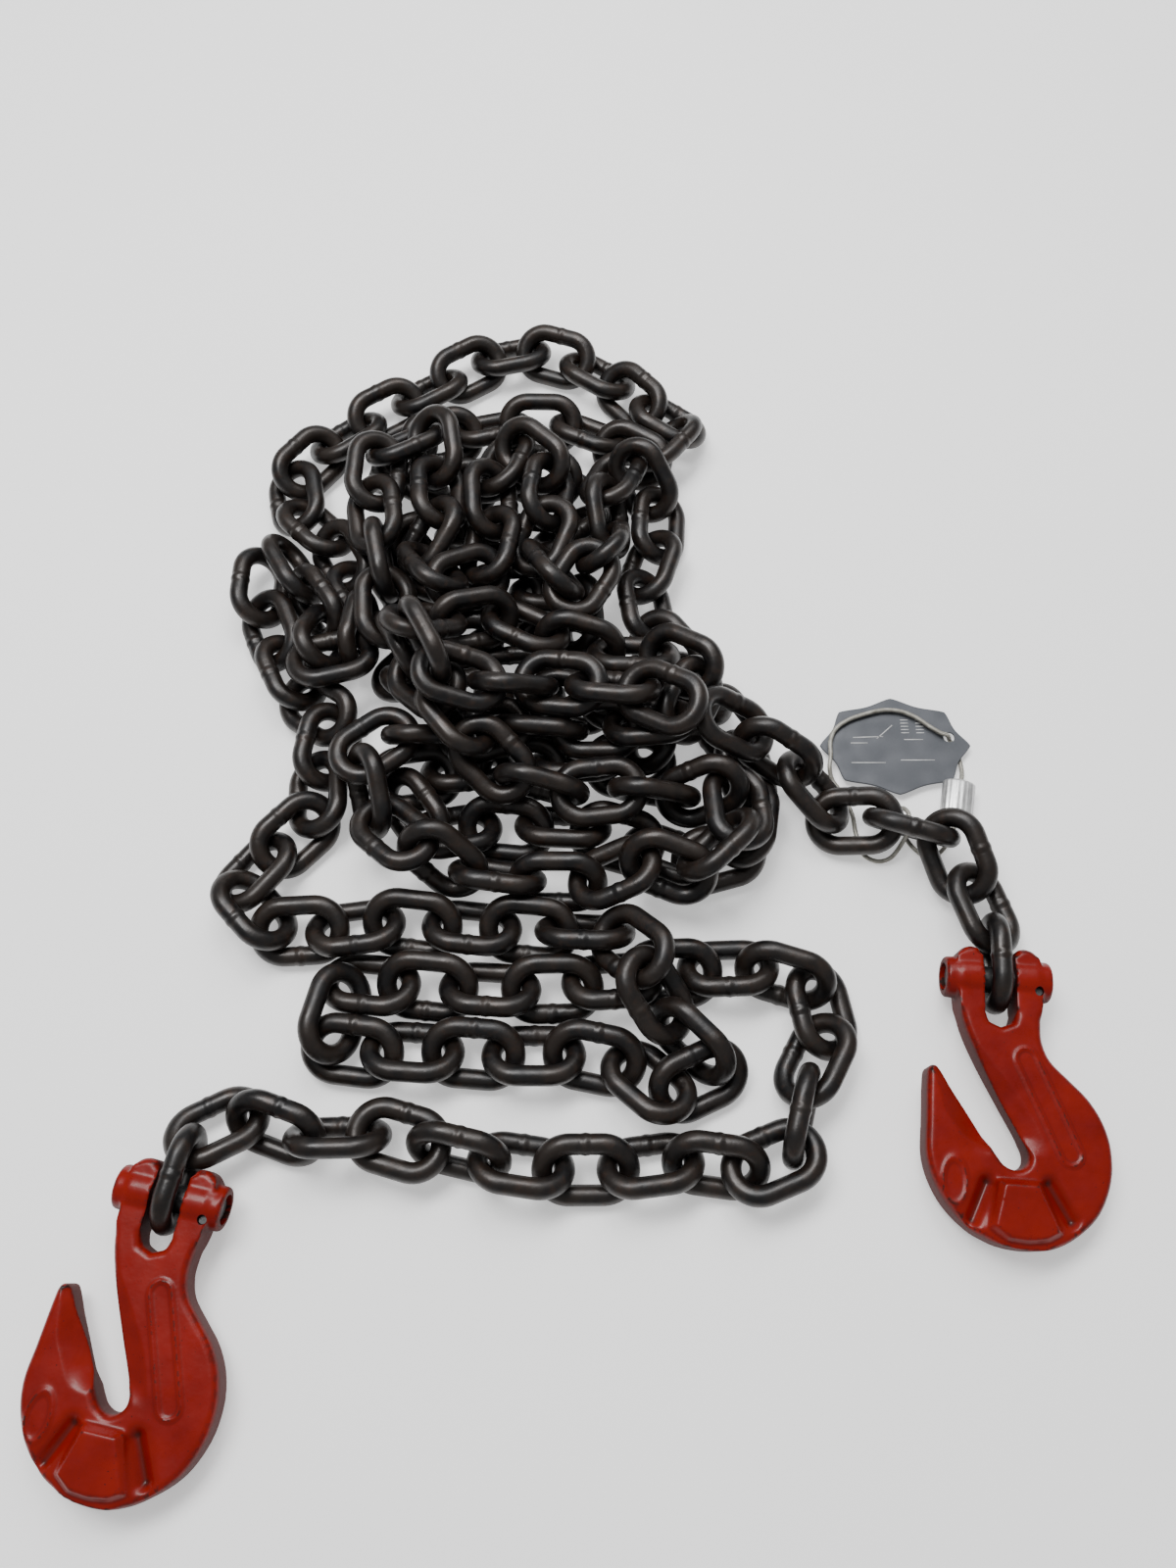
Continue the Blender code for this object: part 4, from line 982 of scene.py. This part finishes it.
def make_wire(steel):
    """A six-strand wire: a tube whose section has six lobes that turn along it."""
    path = smooth_curve(WIRE_ROUTE, WIRE_STEPS)
    ways = unit(np.gradient(path, axis=0))
    run = np.concatenate([[0], np.cumsum(np.linalg.norm(np.diff(path, axis=0), axis=1))])
    side = unit(np.cross(ways[0], (0, 0, 1.0)))
    turn = 2 * math.pi * np.arange(WIRE_SIDES)[:, None] / WIRE_SIDES
    rings = []
    for point, way, s in zip(path, ways, run):
        side = unit(side - (side @ way) * way)
        lobes = np.abs(np.cos(STRANDS / 2 * (turn + 2 * math.pi * s / WIRE_LAY)))
        radius = WIRE_RADIUS * (1 - STRAND_RISE + STRAND_RISE * lobes)
        rings.append(point + radius * (np.cos(turn) * side + np.sin(turn) * np.cross(way, side)))
    wire = mesh_object("twisted_tag_wire", *skin(rings), steel)
    fit_to(wire, "root", "plated_steel", "tag_wire")
    return wire, (path - ORIGIN) * MM, run[-1] * MM


def make_ferrule(aluminium):
    """A crimped oval sleeve with ridges along it and rounded ends."""
    c, s = math.cos(FERRULE_TURN), math.sin(FERRULE_TURN)
    along, across = np.array((-s, c, 0)), np.array((c, s, 0))
    turn = 2 * math.pi * np.arange(FERRULE_SIDES) / FERRULE_SIDES
    radius = FERRULE_RADIUS + FERRULE_RIDGE * np.abs(np.cos(FERRULE_RIDGES / 2 * turn))
    rings = []
    for end, shrink in FERRULE_ENDS:
        x = (FERRULE_SPREAD + radius) * np.cos(turn) * shrink
        z = radius * np.sin(turn) * shrink
        ring = FERRULE_CENTRE + end * FERRULE_HALF * along + x[:, None] * across
        rings.append(ring + np.stack([0 * z, 0 * z, z], axis=1))
    sleeve = mesh_object("ridged_ferrule", *skin(rings[::-1]), aluminium)
    sleeve.data.set_sharp_from_angle(angle=math.radians(50))
    return fit_to(sleeve, "root", "ferrule_aluminium", "wire_ferrule")


# ---- stage: metres from here on
FLOOR_HALF = 3.0
FLOOR_DROP = 0.0002       # the floor lies this much under the object
FLOOR_TONES = (0.86, 0.89)
FLOOR_GLOW = 0.5
ROOM_LIGHT = 0.36
LAMPS = (                 # name, place, size, watts
    ("key", (-0.45, 0.35, 1.5), 0.6, 20),
    ("fill", (0.35, 1.0, 1.3), 0.9, 8),
    ("top", (0.05, 0.7, 1.5), 0.5, 9),
)
LENS, SENSOR = 29.25, 36
CAMERA_PLACE = (0.000842, -0.255786, 0.612)
CAMERA_TILT = math.radians(24)


def make_floor():
    h = FLOOR_HALF
    mesh = bpy.data.meshes.new("floor")
    mesh.from_pydata([(-h, -h, 0), (h, -h, 0), (h, h, 0), (-h, h, 0)], [], [(0, 1, 2, 3)])
    pale = Nodes("pale_floor", 0.0)
    pale.feed("Base Color", pale.ramp(pale.noise(3), (0.3, FLOOR_TONES[0]), (0.7, FLOOR_TONES[1])))
    pale.shader.inputs["Roughness"].default_value = 0.8
    pale.shader.inputs["Emission Color"].default_value = (1, 1, 1, 1)
    pale.shader.inputs["Emission Strength"].default_value = FLOOR_GLOW
    mesh.materials.append(pale.mat)
    floor = bpy.data.objects.new("floor", mesh)
    floor.location.z = -FLOOR_DROP
    bpy.context.scene.collection.objects.link(floor)


def make_lights():
    world = bpy.data.worlds.new("soft_room")
    world.use_nodes = True
    background = world.node_tree.nodes["Background"]
    background.inputs["Color"].default_value = (1, 1, 1, 1)
    background.inputs["Strength"].default_value = ROOM_LIGHT
    bpy.context.scene.world = world
    for name, place, size, power in LAMPS:
        light = bpy.data.lights.new(name, "AREA")
        light.size, light.energy = size, power
        lamp = bpy.data.objects.new(name, light)
        lamp.location = place
        lamp.rotation_euler = (-Vector(place)).to_track_quat("-Z", "Y").to_euler()
        bpy.context.scene.collection.objects.link(lamp)


def make_camera():
    data = bpy.data.cameras.new("camera")
    data.lens, data.sensor_width = LENS, SENSOR
    camera = bpy.data.objects.new("camera", data)
    camera.location = CAMERA_PLACE
    camera.rotation_euler = (CAMERA_TILT, 0, 0)
    bpy.context.scene.collection.objects.link(camera)
    bpy.context.scene.camera = camera


make_camera()

# the tag, and the wire that holds it
galvanised = metal("galvanised_wire", WIRE_DARK, WIRE_LIGHT, 0.5, 300, 0.4)
wire, wire_line, wire_length = make_wire(galvanised)
ferrule = make_ferrule(metal("crimped_aluminium", 0.62, 0.8, 0.42, 150))
tag_piece = make_tag(metal("dull_zinc", ZINC_DARK, ZINC_LIGHT, 0.5, 110, 0.45))
make_scribed_lines(metal("scribed_zinc", 0.55, 0.75, 0.6, 300, 0.1))

# the chain
link_centres, link_axes, link_groups, _ = lay_chain()
make_links(link_centres, link_axes, link_groups, oiled_steel())

# the hooks and their pins
hook_outline = fine_outline()
raw_points, hook_faces = voxel_joined(hook_shapes(hook_outline))
forged_mesh = (forged(raw_points, hook_outline), hook_faces)
paint, pin_steel = red_paint(), metal("oiled_pin_steel", 0.05, 0.1, 0.4, 200)
for side, pose in (("left", LEFT_HOOK), ("right", RIGHT_HOOK)):
    make_hook(side, pose, forged_mesh, paint)
    make_pins(side, pose, pin_steel)

make_floor()
make_lights()
